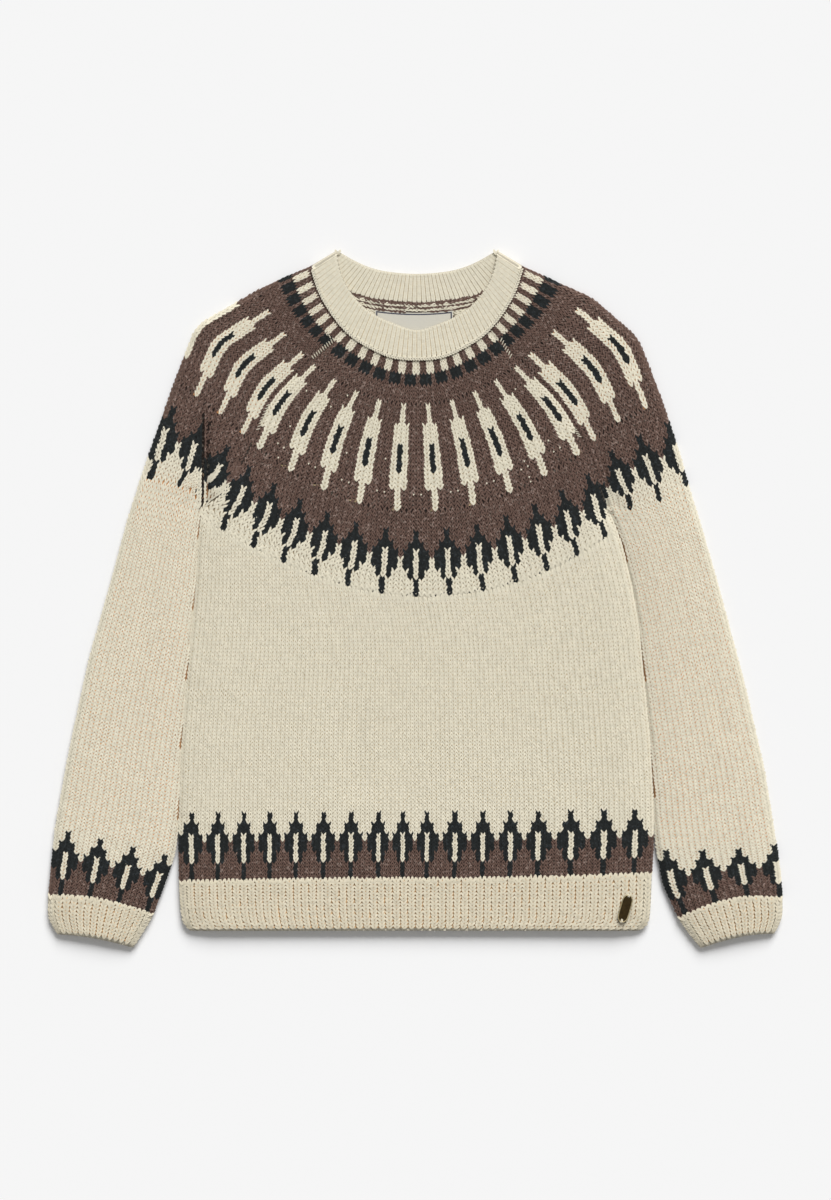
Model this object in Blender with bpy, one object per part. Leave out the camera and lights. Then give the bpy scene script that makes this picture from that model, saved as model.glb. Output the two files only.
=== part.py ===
"""Fair isle raglan jumper, laid flat with its front up.

+X runs to the wearer's left, +Y towards the neck and +Z up from the surface.
Every outline is in millimetres in this file, and the meshes are in metres.
The back panel lies on the surface, the front panel lies on the back, the
sleeves are flattened tubes beside the body, and the neckband is a short
flattened tube. Each piece is a wall of real knit, 3.2 mm thick.
"""

import math

import bpy
import numpy as np

MM = 0.001
# The tables' origin, moved to the middle of the whole outline.
ORIGIN = (-0.1, 0.2, 0.0)

# Knitted wall, and the gap that two pieces keep at a seam.
WALL = 3.2
SEAM_GAP = 0.3
FRONT_FLOOR = WALL + SEAM_GAP

# A folded or seamed edge rounds off over FOLD_REACH, to a lip LIP thick.
FOLD_REACH = 5.5
LIP = 0.5
# A raglan seam pulls the cloth down by SEAM_DIP over SEAM_REACH.
SEAM_DIP = 0.7
SEAM_REACH = 4.0

# How far the upper layer stands off the lower one, away from its folds.
PUFF = 1.9
PUFF_REACH = 26.0

# Ribs: height over the wall, and how many show across each welt.
RIB_HEIGHT = 1.0
HEM_RIBS = 62
# Crest heights across one hem rib, as shares of the full height.
RIB_SHAPE = (0.0, 1.0, 1.0)
FREE_EDGE_DROP = 0.6
HEM_BACK_COLUMNS = 25
CUFF_RIBS = 14
NECK_RIBS_FRONT = 58
NECK_RIBS_BACK = 44
NECK_RIB_HEIGHT = 0.5
NECK_WALL = 4.4
NECK_ROWS = 3
# Points kept of a stretch of the neck curve.
NECK_POINTS = 12
NECK_TUCK = 0.8 * NECK_WALL
# The back half's ribs fade out where the front half covers them.
NECK_HIDDEN_X = 62.0
NECK_FADE = 12.0

# Label and plate.
LABEL_THICK = 0.6
LABEL_X = (-36.5, 33.8)
LABEL_Y = (228.0, 258.6)
LABEL_SAG = 2.2
LABEL_ROWS, LABEL_COLUMNS = 4, 9
PLATE_THICK = 1.0
PLATE_HALF_LENGTH = 12.2
PLATE_HALF_WIDTH = 3.9
PLATE_POINT = 4.6
PLATE_TIP_SHARE = 0.45
# The plate's rim: where it starts to slope in, and how small its face is.
PLATE_RIM = 0.6
PLATE_FACE = 0.82
PLATE_CENTRE = (189.5, -278.8)
PLATE_LEAN_DEG = 16.0

# The neckband's seam edge is drawn in this much from the panels' neck edges.
NECK_CLEAR = 1.3

# A sleeve lies this far from the side of the body, centre to centre of their folds.
SLEEVE_CLEAR = 1.4
# At its free end a narrow tube's inner wall is drawn in by this share of its width.
TUCK_SHARE = 0.2

# Points in a row before it is cut to its mesh, and the mesh's columns: those by
# a fold, then the spaces between on a panel, and over and under a sleeve.
ACROSS = 65
DENSE = 241
EDGE_MARKS = (0.0, 1.2, 3.0, 6.0)
PANEL_COLUMNS = 14
SLEEVE_MARKS = (0.0, 1.0, 3.0, 6.0)
SLEEVE_COLUMNS = 7
UNDER_COLUMNS = 4
UNDER_MARK = 3.0
# Mesh rows between the given rows of the body and of a sleeve below the armpit,
# and between those of the raglan seams of the front and of the back.
BODY_STEPS = [2, 2, 1, 1, 1, 1]
SLEEVE_STEPS = [2, 2, 2, 2, 1, 1]
RAGLAN_STEPS = [1, 2, 2, 2, 1, 1, 1]
BACK_RAGLAN_STEPS = [1, 2, 2, 2, 2, 1]
RIGHT, LEFT = -1, +1

# Side edge of the body, from the hem rib's top to the armpit.
SIDE_EDGE = [
    # y, x on the wearer's right, x on the wearer's left
    (-255.0, -213.1, 213.0),
    (-215.0, -213.6, 214.7),
    (-176.0, -212.5, 214.2),
    (-130.0, -210.7, 211.6),
    (-84.0, -207.0, 207.4),
    (-29.0, -201.5, 201.9),
    (8.0, -198.2, 196.0),
    (49.0, -195.8, 186.5),
    (69.0, -194.3, 179.6),
    (84.5, -192.6, 172.2),
]

# Raglan seam of the front, from the armpit to the neckband.
RAGLAN = [
    # x right, y right, x left, y left
    (-192.6, 84.5, 172.2, 84.5),
    (-170.6, 100.0, 170.0, 92.5),
    (-148.1, 141.0, 153.5, 134.7),
    (-127.4, 181.5, 130.1, 175.7),
    (-95.0, 213.9, 94.0, 213.0),
    (-80.5, 225.0, 81.5, 225.0),
    (-71.5, 233.2, 73.0, 233.2),
    (-63.5, 241.8, 65.7, 241.8),
]

# Raglan seam of the back, which runs on to the higher back neck.
BACK_RAGLAN = [
    # x right, y right, x left, y left
    (-192.6, 84.5, 172.2, 84.5),
    (-170.6, 104.0, 168.0, 96.5),
    (-146.0, 151.0, 151.0, 144.7),
    (-120.4, 196.5, 122.1, 190.7),
    (-90.0, 233.9, 90.0, 233.0),
    (-66.0, 264.0, 67.0, 264.0),
    (-56.5, 274.6, 58.9, 274.6),
]

# Rows of the front from the hem rib to the armpit: heights of the row.
FRONT_BODY_ROWS = [
    # y at right edge, y at centre, y at left edge
    (-254.5, -251.8, -247.0),
    (-198.5, -192.0, -190.5),
    (-130.0, -127.0, -127.0),
    (-84.0, -81.0, -79.0),
    (-8.0, -41.0, -8.0),
    (58.0, 2.4, 46.5),
]

# Centre heights of the front's rows from the armpit to the neckband, in step
# with RAGLAN, and of the back's rows, in step with BACK_RAGLAN.
FRONT_YOKE_CENTRES = [16.0, 33.9, 78.9, 124.8, 175.2, 192.3, 202.5]
BACK_YOKE_CENTRES = [60.0, 84.0, 132.0, 186.0, 226.0, 254.0]
CENTRE_X = 0.5

# Rows of each sleeve from cuff to neck: x, y at the inner edge, at one third,
# at two thirds and at the outer fold. The row named armpit closes the tube.
SLEEVE_ROWS = {
    RIGHT: [
        # name, inner, third, two thirds, outer
        ("cuff", (-236.2, -283.8), (-267.0, -274.0), (-298.4, -268.3), (-331.1, -266.7)),
        ("band", (-217.2, -232.0), (-253.3, -223.5), (-288.4, -214.5), (-325.0, -206.4)),
        ("low", (None, -154.0), (-245.0, -148.5), (-278.6, -143.0), (-312.4, -137.3)),
        ("mid", (None, -73.0), (-236.0, -67.5), (-265.5, -62.0), (-295.0, -56.1)),
        ("high", (None, 7.0), (-223.5, 13.5), (-247.5, 20.0), (-271.6, 26.7)),
        ("upper", (None, 58.0), (-217.5, 62.5), (-238.8, 66.5), (-260.2, 70.0)),
        ("armpit", None, (-203.5, 98.0), (-226.0, 105.5), (-247.2, 110.4)),
        ("bars", None, (-192.2, 123.9), (-216.0, 139.0), (-236.2, 142.8)),
        ("feet", None, (-169.7, 160.8), (-194.0, 179.0), (-216.6, 198.8)),
        ("hearts", None, (-150.8, 205.8), (-175.1, 229.2), (-197.8, 247.0)),
        ("tips", None, (-113.9, 234.6), (-130.1, 256.2), (-142.2, 279.3)),
        ("squares", None, (-100.4, 244.5), (-114.8, 265.2), (-124.9, 287.5)),
        ("ticks", None, (-90.5, 250.8), (-103.0, 270.6), (-111.5, 293.3)),
    ],
    LEFT: [
        ("cuff", (237.2, -287.8), (260.6, -277.0), (293.9, -268.4), (330.9, -268.9)),
        ("band", (216.9, -225.3), (252.5, -226.6), (289.4, -225.3), (325.6, -221.7)),
        ("low", (None, -164.0), (247.5, -160.5), (281.0, -157.0), (314.6, -153.3)),
        ("mid", (None, -81.0), (236.0, -78.0), (265.8, -75.0), (295.9, -72.3)),
        ("high", (None, 0.0), (222.6, 6.0), (247.0, 12.0), (271.6, 17.7)),
        ("upper", (None, 46.5), (210.6, 50.5), (235.4, 54.5), (260.0, 58.2)),
        ("armpit", None, (194.8, 80.5), (221.8, 88.5), (245.9, 104.1)),
        ("bars", None, (188.6, 109.5), (212.8, 120.3), (239.4, 128.4)),
        ("feet", None, (171.5, 151.8), (196.7, 165.3), (222.8, 179.0)),
        ("hearts", None, (149.8, 197.7), (174.2, 217.5), (200.8, 236.2)),
        ("tips", None, (114.8, 231.9), (136.3, 252.6), (158.6, 273.0)),
        ("squares", None, (104.0, 243.6), (120.2, 263.4), (132.0, 284.2)),
        ("ticks", None, (91.4, 251.7), (104.9, 270.6), (116.5, 291.4)),
    ],
}

# Rows of the hem rib, from its free edge up.
HEM_ROWS = [
    # x right, x left, y right, y centre, y left
    (-203.5, 202.0, -298.2, -298.0, -298.2),
    (-209.6, 209.8, -289.8, -290.0, -290.2),
    (-212.4, 212.0, -274.0, -274.5, -275.0),
    (-213.1, 213.0, -255.0, -252.3, -247.5),
]

# Rows of each cuff, from its free edge up, as in SLEEVE_ROWS.
CUFF_ROWS = {
    RIGHT: [
        ((-254.2, -313.6), (-277.7, -307.4), (-300.2, -303.3), (-323.2, -301.4)),
        ((-241.9, -294.2), (-270.4, -288.4), (-300.2, -284.9), (-330.9, -285.0)),
        ((-236.4, -284.3), (-267.1, -274.5), (-298.4, -268.8), (-331.1, -267.2)),
    ],
    LEFT: [
        ((256.9, -314.0), (278.6, -307.0), (301.1, -302.2), (323.6, -300.9)),
        ((244.6, -298.9), (270.4, -289.2), (299.2, -284.6), (330.2, -286.0)),
        ((237.5, -288.3), (260.6, -277.5), (293.9, -268.9), (330.9, -269.4)),
    ],
}

# Neck seam, front half from its middle to the shoulder fold, and back half.
NECK_MIDDLE_X = 1.2
NECK_SEAM_FRONT = [
    # x from the middle, y
    (0.0, 216.0), (22.9, 218.3), (43.9, 227.6), (61.0, 239.0), (75.6, 255.7), (87.9, 276.6), (95.8, 300.6),
]
NECK_SEAM_BACK = [
    (0.0, 266.4), (25.8, 268.0), (42.6, 270.6), (58.6, 275.3), (79.0, 287.6), (95.8, 300.6),
]
NECK_EDGE_FRONT = [
    (0.0, 242.8), (21.8, 249.3), (37.8, 256.7), (49.9, 265.6), (60.0, 277.6), (68.0, 293.4), (72.6, 314.4),
]
NECK_EDGE_BACK = [
    (0.0, 293.8), (16.0, 294.6), (32.0, 296.8), (45.8, 300.9), (58.0, 306.6), (66.0, 311.2), (72.6, 314.4),
]

# Soft troughs pressed into the upper layer: a line from start to end, its
# depth at each end and its half width.
TROUGHS = [
    # x start, y start, x end, y end, depth start, depth end, half width
    (-192.6, 84.0, -192.0, 130.0, 1.9, 1.5, 15.0),
    (-192.0, 130.0, -195.0, 178.0, 1.5, 0.0, 15.0),
    (172.2, 84.0, 168.5, 122.0, 1.9, 1.5, 15.0),
    (168.5, 122.0, 163.5, 160.0, 1.5, 0.0, 15.0),
    (-70.0, -10.0, -52.0, -165.0, 0.2, 0.7, 24.0),
    (8.0, -25.0, 0.0, -180.0, 0.3, 0.8, 26.0),
    (88.0, 10.0, 74.0, -150.0, 0.7, 0.3, 22.0),
    (-258.0, 60.0, -284.0, -90.0, 0.6, 0.3, 12.0),
    (246.0, 50.0, 278.0, -120.0, 0.3, 0.7, 12.0),
]


def spline(points, count, even=True):
    """A smooth curve through the points, as count points along it."""
    p = np.array(points, float)
    ends = np.vstack([2 * p[0] - p[1], p, 2 * p[-1] - p[-2]])
    at = np.linspace(0, len(p) - 1, 24 * (len(p) - 1) + 1)
    dense = catmull(ends, at)
    if not even:
        along = at / at[-1]
    else:
        along = np.concatenate([[0], np.cumsum(np.linalg.norm(np.diff(dense, axis=0), axis=1))])
        along /= along[-1]
    share = np.linspace(0, 1, count)
    return np.stack([np.interp(share, along, dense[:, k]) for k in range(2)], axis=1)


def catmull(padded, at):
    """Points at the places `at` on the curve through these rows, which have one more at each end."""
    last = len(padded) - 4
    i = np.clip(np.floor(at).astype(int), 0, last)
    t = (at - i).reshape((-1,) + (1,) * (padded.ndim - 1))
    a, b, c, d = padded[i], padded[i + 1], padded[i + 2], padded[i + 3]
    square, cube = 2 * a - 5 * b + 4 * c - d, 3 * b - a - 3 * c + d
    return 0.5 * (2 * b + (c - a) * t + square * t**2 + cube * t**3)


def side_x(y, side):
    """The body's side edge at height y."""
    table = np.array(SIDE_EDGE)
    return float(np.interp(y, table[:, 0], table[:, 1 if side == RIGHT else 2]))


def neck_curve(half, count):
    """A neck curve from the right shoulder fold to the left one, through its middle."""
    right = [(NECK_MIDDLE_X - x, y) for x, y in reversed(half)]
    left = [(NECK_MIDDLE_X + x, y) for x, y in half[1:]]
    return spline(right + left, count)


def neck_part(half, start, end, count):
    """The stretch of a neck curve between the points nearest to start and end."""
    line = neck_curve(half, 2 * DENSE)
    first, last = (int(np.argmin(np.linalg.norm(line - np.array(p), axis=1))) for p in (start, end))
    part = line[min(first, last) : max(first, last) + 1]
    part = part if first < last else part[::-1]
    part = part[:: max(1, len(part) // NECK_POINTS)].copy()
    part[0], part[-1] = start, end
    return spline(part, count)


def between(rows, steps):
    """Rows smoothed between the given ones, steps[k] spaces from row k to the next. The last is left out."""
    padded = np.concatenate([2 * rows[:1] - rows[1:2], rows, 2 * rows[-1:] - rows[-2:-1]])
    at = [k + j / n for k, n in enumerate(steps) for j in range(n)]
    return catmull(padded, np.array(at))


def loft(rows, closed_steps, open_steps):
    """Every row of a panel's mesh, and the number of the armpit's row. The steps say how many mesh rows
    lie between given ones below it and above it, so that both sides of a seam have the same ones."""
    rows = np.array(rows)
    corner = len(closed_steps)
    below = between(rows[: corner + 1], closed_steps)
    above = between(rows[corner:], open_steps)
    return np.concatenate([below, above, rows[-1:]]), len(below)


def across(row, places):
    """The points of a row at the given distances from its start."""
    along = np.concatenate([[0], np.cumsum(np.linalg.norm(np.diff(row, axis=0), axis=1))])
    return np.stack([np.interp(places, along, row[:, k]) for k in range(2)], axis=1)


def length(row):
    return np.linalg.norm(np.diff(row, axis=0), axis=1).sum()


def edge_places(row):
    """Distances across a row: close together by both edges, where it rounds off, and wider between."""
    width = length(row)
    start = SEAM_GAP / 2 + np.array(EDGE_MARKS)
    middle = np.linspace(start[-1], width - start[-1], PANEL_COLUMNS + 1)[1:-1]
    return np.concatenate([start, middle, (width - start)[::-1]])


def distance(points, line):
    """How far each point is from a polyline."""
    best = np.full(points.shape[:-1], np.inf)
    for a, b in zip(line, line[1:]):
        d = b - a
        t = np.clip(((points - a) @ d) / max(d @ d, 1e-9), 0, 1)
        best = np.minimum(best, np.linalg.norm(points - a - t[..., None] * d, axis=-1))
    return best


def smooth(t):
    t = np.clip(t, 0, 1)
    return t * t * (3 - 2 * t)


def rounding(d):
    """0 at a folded edge, 1 from FOLD_REACH in, along a quarter ellipse."""
    t = np.clip(1 - d / FOLD_REACH, 0, 1)
    return np.sqrt(1 - t * t)


def puff(points, folds):
    """How far the upper layer stands off the lower one."""
    near = np.min([distance(points, f) for f in folds], axis=0)
    depth = np.zeros(points.shape[:-1])
    for x0, y0, x1, y1, start, end, half in TROUGHS:
        a, b = np.array([x0, y0]), np.array([x1, y1])
        t = np.clip(((points - a) @ (b - a)) / ((b - a) @ (b - a)), 0, 1)
        off = np.linalg.norm(points - a - t[..., None] * (b - a), axis=-1)
        here = (start + (end - start) * t) * (1 - smooth(off / half))
        depth = np.maximum(depth, here)
    return np.maximum(0, PUFF * smooth(near / PUFF_REACH) - depth)


def dip(points, seams):
    """How far the seams pull the cloth down."""
    if not seams:
        return np.zeros(points.shape[:-1])
    near = np.min([distance(points, s) for s in seams], axis=0)
    return SEAM_DIP * smooth(1 - near / SEAM_REACH)


def edge_rounding(points, folds):
    return rounding(np.min([distance(points, f) for f in folds], axis=0))


def upper_heights(points, folds, seams):
    """Top and bottom of the upper layer."""
    lift, pull, edge = puff(points, folds), dip(points, seams), edge_rounding(points, folds)
    top = FRONT_FLOOR + LIP + (WALL + lift - pull - LIP) * edge
    bottom = np.maximum(FRONT_FLOOR, FRONT_FLOOR + lift * edge - pull)
    return top, bottom


def lower_bottom(points, folds):
    """Bottom of the lower layer, flat on the surface but for its rounded edges."""
    return (WALL - LIP) * (1 - edge_rounding(points, folds))


def material(name, colour, roughness, metallic=0.0):
    m = bpy.data.materials.new(name)
    m.use_nodes = True
    shader = m.node_tree.nodes["Principled BSDF"]
    shader.inputs["Base Color"].default_value = (*colour, 1)
    shader.inputs["Roughness"].default_value = roughness
    shader.inputs["Metallic"].default_value = metallic
    return m


def add_object(name, points, faces, finish):
    mesh = bpy.data.meshes.new(name)
    mesh.from_pydata(((np.asarray(points) - ORIGIN) * MM).tolist(), [], faces)
    mesh.shade_smooth()
    mesh.set_sharp_from_angle(angle=math.radians(40))
    mesh.materials.append(finish)
    thing = bpy.data.objects.new(name, mesh)
    bpy.context.scene.collection.objects.link(thing)
    return thing


def slab(name, plan, top, bottom, finish):
    """A panel: a grid of plan points (rows x columns) between two heights."""
    rows, columns = plan.shape[:2]
    n = rows * columns
    points = np.concatenate([np.dstack([plan, z]).reshape(-1, 3) for z in (top, bottom)])
    at = lambda i, j, low=0: low * n + i * columns + j
    faces = []
    for i in range(rows - 1):
        for j in range(columns - 1):
            faces.append((at(i, j), at(i, j + 1), at(i + 1, j + 1), at(i + 1, j)))
            faces.append((at(i + 1, j, 1), at(i + 1, j + 1, 1), at(i, j + 1, 1), at(i, j, 1)))
    for j in range(columns - 1):
        faces.append((at(0, j, 1), at(0, j + 1, 1), at(0, j + 1), at(0, j)))
        faces.append((at(rows - 1, j), at(rows - 1, j + 1), at(rows - 1, j + 1, 1), at(rows - 1, j, 1)))
    last = columns - 1
    for i in range(rows - 1):
        faces.append((at(i, 0), at(i + 1, 0), at(i + 1, 0, 1), at(i, 0, 1)))
        faces.append((at(i, last, 1), at(i + 1, last, 1), at(i + 1, last), at(i, last)))
    return add_object(name, points, faces, finish)


def tube(name, outer, inner, open_row, finish, flip=False):
    """A flattened tube: rings of outer and inner points (rows x ring). Rings before open_row close at their
    first point, and later ones are open there, as a raglan sleeve is above the armpit."""
    rows, ring = outer.shape[:2]
    last = ring - 1
    number, points = {}, []
    for layer, grid in enumerate((outer, inner)):
        for i in range(rows):
            for k in range(ring):
                if k == last and i < open_row:
                    number[layer, i, k] = number[layer, i, 0]
                    continue
                number[layer, i, k] = len(points)
                points.append(grid[i, k])
    o = lambda i, k: number[0, i, k]
    n = lambda i, k: number[1, i, k]
    faces = []
    for i in range(rows - 1):
        for k in range(last):
            faces.append((o(i, k), o(i, k + 1), o(i + 1, k + 1), o(i + 1, k)))
            faces.append((n(i + 1, k), n(i + 1, k + 1), n(i, k + 1), n(i, k)))
    for k in range(last):
        faces.append((n(0, k), n(0, k + 1), o(0, k + 1), o(0, k)))
        faces.append((o(rows - 1, k), o(rows - 1, k + 1), n(rows - 1, k + 1), n(rows - 1, k)))
    for i in range(max(0, open_row - 1), rows - 1):
        faces.append((o(i, 0), o(i + 1, 0), n(i + 1, 0), n(i, 0)))
        faces.append((n(i, last), n(i + 1, last), o(i + 1, last), o(i, last)))
    if flip:
        faces = [f[::-1] for f in faces]
    return add_object(name, points, faces, finish)


def body_rows(raglan, centres, top_row):
    """Rows of the front or the back, from the hem rib to the neckband."""
    rows = []
    for y_right, y_middle, y_left in FRONT_BODY_ROWS:
        ends = [(side_x(y_right, RIGHT), y_right), (side_x(y_left, LEFT), y_left)]
        rows.append(spline([ends[0], (CENTRE_X, y_middle), ends[1]], ACROSS))
    for (xr, yr, xl, yl), y_middle in zip(raglan, centres):
        rows.append(spline([(xr, yr), (CENTRE_X, y_middle), (xl, yl)], ACROSS))
    return rows + [top_row]


def shifted_ends(rows, gap):
    """Rows whose first and last are drawn in by gap, so that the pieces above and below stay clear."""
    rows = rows.copy()
    for end, inner in ((0, 1), (-1, -2)):
        step = rows[inner] - rows[end]
        rows[end] += step * (gap / np.linalg.norm(step, axis=1, keepdims=True))
    return rows


def body_plan(raglan, centres, neck_half, steps):
    """The front's or the back's grid in plan, its side folds and its raglan seams."""
    first, last = raglan[-1][:2], raglan[-1][2:]
    rows = body_rows(raglan, centres, neck_part(neck_half, first, last, ACROSS))
    rows, open_row = loft(rows, BODY_STEPS, steps)
    rows = shifted_ends(rows, SEAM_GAP / 2)
    folds = [rows[: open_row + 1, 0], rows[: open_row + 1, -1]]
    seams = [rows[open_row + 2 :, 0], rows[open_row + 2 :, -1]]
    plan = []
    for row in rows:
        plan.append(across(row, edge_places(row)))
    return np.array(plan), folds, seams


def build_front(finish):
    plan, folds, seams = body_plan(RAGLAN, FRONT_YOKE_CENTRES, NECK_SEAM_FRONT, RAGLAN_STEPS)
    top, bottom = upper_heights(plan, folds, seams)
    return slab("front", plan, top, bottom, finish)


def build_back(finish):
    plan, folds, _ = body_plan(BACK_RAGLAN, BACK_YOKE_CENTRES, NECK_SEAM_BACK, BACK_RAGLAN_STEPS)
    top = np.full(plan.shape[:2], WALL)
    return slab("back", plan, top, lower_bottom(plan, folds), finish)


def raglan_points(table, side):
    """One side's raglan seam, from the armpit to the neckband."""
    column = 0 if side == RIGHT else 2
    return [row[column : column + 2] for row in table]


def shoulder(side):
    """Where the neck seam meets the fold of the shoulder."""
    return (NECK_MIDDLE_X + side * NECK_SEAM_FRONT[-1][0], NECK_SEAM_FRONT[-1][1])


def sleeve_rows(side):
    """Rows of a sleeve's upper layer, from cuff to neck, each from the inner edge to the outer fold."""
    seam = raglan_points(RAGLAN, side)
    rows, above = [], 0
    for _, inner, third, two_thirds, outer in SLEEVE_ROWS[side]:
        if inner is None:
            inner = seam[above]
            above += 1
        elif inner[0] is None:
            inner = (side_x(inner[1], side) + side * SLEEVE_CLEAR, inner[1])
        rows.append(spline([inner, third, two_thirds, outer], ACROSS, even=False))
    rows.append(neck_part(NECK_SEAM_FRONT, seam[-1], shoulder(side), ACROSS))
    return rows


def under_sleeve(side, upper, open_row):
    """Rows of a sleeve's lower layer: those of the upper one, and above the armpit straight from the
    back's raglan seam to the same outer fold."""
    table = np.array(raglan_points(BACK_RAGLAN, side))
    seam = np.concatenate([between(table, BACK_RAGLAN_STEPS), table[-1:]])
    lower = upper.copy()
    for k, start in enumerate(seam[1:-1], 1):
        lower[open_row + k] = np.linspace(start, upper[open_row + k, -1], ACROSS)
    lower[-1] = neck_part(NECK_SEAM_BACK, seam[-1], shoulder(side), ACROSS)
    return lower


def fold_ring(upper, lower, folds, seams, open_row, ribs=0):
    """Outer and inner rings of a flattened tube. upper and lower are rows of plan points from the inner
    edge to the outer fold; the ring runs over the upper ones and back under the lower ones."""
    outer, inner = [], []
    half = SEAM_GAP / 2
    level = WALL + half
    for i, (up, low) in enumerate(zip(upper, lower)):
        closed = i < open_row
        start = 0.0 if closed else half
        width, low_width = length(up), length(low)
        if ribs:
            marks = np.linspace(0, 1, 2 * ribs + 1)
        else:
            near = np.array(SLEEVE_MARKS) / width
            middle = np.linspace(near[-1], 1 - near[-1], SLEEVE_COLUMNS + 1)[1:-1]
            marks = np.concatenate([near, middle, 1 - near[::-1]])
        near = UNDER_MARK / low_width
        low_marks = np.concatenate([[0], np.linspace(near, 1 - near, UNDER_COLUMNS + 3), [1]])
        crest = RIB_HEIGHT * (np.arange(len(marks)) % 2) if ribs else 0.0
        over = across(up, start + marks * (width - start))
        under = across(low, start + low_marks * (low_width - start))
        raised = WALL + half + puff(over, folds) - dip(over, seams) + crest
        top = level + raised * edge_rounding(over, folds)
        foot = level * (1 - edge_rounding(under, folds))
        outer.append(np.vstack([np.column_stack([over, top]), np.column_stack([under, foot])[-2::-1]]))
        # The inner wall: the same places drawn in by one wall from each fold, one wall below or above.
        tuck = min(WALL, TUCK_SHARE * width)
        first = tuck if closed else start
        over = across(up, first + marks * (width - first - tuck))
        under = across(low, first + low_marks * (low_width - first - tuck))
        lift = puff(over, folds) * edge_rounding(over, folds) - dip(over, seams)
        top = level + half + np.maximum(0, lift)
        foot = np.full(len(under), level - half)
        ends = [0, -1] if closed else [-1]
        top[ends] = foot[ends] = level
        inner.append(np.vstack([np.column_stack([over, top]), np.column_stack([under, foot])[-2::-1]]))
    return np.array(outer), np.array(inner)


def build_sleeve(name, side, finish):
    upper, open_row = loft(sleeve_rows(side), SLEEVE_STEPS, RAGLAN_STEPS)
    lower = under_sleeve(side, upper, open_row)
    upper, lower = shifted_ends(upper, SEAM_GAP / 2), shifted_ends(lower, SEAM_GAP / 2)
    lower[:, -1] = upper[:, -1]
    folds = [upper[: open_row + 1, 0], upper[:, -1]]
    seams = [upper[open_row + 2 :, 0]]
    outer, inner = fold_ring(upper, lower, folds, seams, open_row + 1)
    return tube(name, outer, inner, open_row + 1, finish, flip=side == RIGHT)


def build_cuff(name, side, finish):
    rows = np.array([spline(r, ACROSS, even=False) for r in CUFF_ROWS[side]])
    folds = [rows[:, 0], rows[:, -1]]
    outer, inner = fold_ring(rows, rows.copy(), folds, [], len(rows), CUFF_RIBS)
    return tube(name, outer, inner, len(rows), finish, flip=side == RIGHT)


def hem_plan(columns):
    plan = []
    for x_right, x_left, y_right, y_middle, y_left in HEM_ROWS:
        row = spline([(x_right, y_right), (CENTRE_X, y_middle), (x_left, y_left)], ACROSS)
        plan.append(across(row, np.linspace(0, length(row), columns)))
    return np.array(plan)


def build_hem_front(finish):
    columns = len(RIB_SHAPE) * HEM_RIBS + 1
    plan = hem_plan(columns)
    folds = [plan[:, 0], plan[:, -1]]
    top, bottom = upper_heights(plan, folds, [])
    crest = np.array(RIB_SHAPE)[np.arange(columns) % len(RIB_SHAPE)]
    top += RIB_HEIGHT * crest * edge_rounding(plan, folds)
    top[0] -= FREE_EDGE_DROP
    return slab("hem_rib_front", plan, top, bottom, finish)


def build_hem_back(finish):
    plan = hem_plan(HEM_BACK_COLUMNS)
    folds = [plan[:, 0], plan[:, -1]]
    return slab("hem_rib_back", plan, np.full(plan.shape[:2], WALL), lower_bottom(plan, folds), finish)


def build_neckband(finish):
    """A double ribbed band: its front half lies over its back half and shows its outer face, and the back
    half shows its inner face in the neck opening."""
    halves = (
        (NECK_SEAM_FRONT, NECK_EDGE_FRONT, 2 * NECK_RIBS_FRONT + 1, 1),
        (NECK_SEAM_BACK, NECK_EDGE_BACK, 2 * NECK_RIBS_BACK + 1, -1),
    )
    half = SEAM_GAP / 2
    level = NECK_WALL + half
    outer, inner = [], []
    for t in np.linspace(0, 1, NECK_ROWS):
        for tucked, rings in ((0.0, outer), (NECK_TUCK, inner)):
            ring = []
            for seam, edge, count, way in halves:
                line = neck_curve(seam, DENSE) * (1 - t) + neck_curve(edge, DENSE) * t
                marks = np.linspace(tucked, length(line) - tucked, count)
                place = across(line, marks)
                fold = rounding(np.minimum(marks - tucked, length(line) - tucked - marks))
                crest = NECK_RIB_HEIGHT * (np.arange(count) % 2)
                if tucked:
                    seen = smooth((NECK_HIDDEN_X - abs(place[:, 0] - NECK_MIDDLE_X)) / NECK_FADE)
                    z = np.full(count, level + way * half) + (crest * seen if way < 0 else 0)
                    z[[0, -1]] = level
                else:
                    outward = crest if way > 0 else 0
                    z = level + way * (half + NECK_WALL + outward) * fold
                ring.append(np.column_stack([place, z]))
            rings.append(np.vstack([ring[0], ring[1][-2::-1]]))
    outer, inner = seam_clear(np.array(outer), np.array(inner))
    return tube("neckband", outer, inner, NECK_ROWS, finish)


def seam_clear(outer, inner):
    """Draws the seam edge of the neckband in, so that it stays clear of the panels' neck edges."""
    for grid in (outer, inner):
        step = grid[1, :, :2] - grid[0, :, :2]
        grid[0, :, :2] += step * (NECK_CLEAR / np.linalg.norm(step, axis=1, keepdims=True))
    return outer, inner


def build_label(finish):
    """The woven label, on the back panel's inner face and on its neckband's seam side."""
    xs = np.linspace(*LABEL_X, LABEL_COLUMNS)
    plan = np.zeros((LABEL_ROWS, LABEL_COLUMNS, 2))
    for i, y in enumerate(np.linspace(*LABEL_Y, LABEL_ROWS)):
        plan[i, :, 0] = xs
        plan[i, :, 1] = y + LABEL_SAG * ((xs - NECK_MIDDLE_X) / LABEL_X[1]) ** 2
    bottom = np.full(plan.shape[:2], FRONT_FLOOR)
    return slab("neck_label", plan, bottom + LABEL_THICK, bottom, finish)


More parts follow.
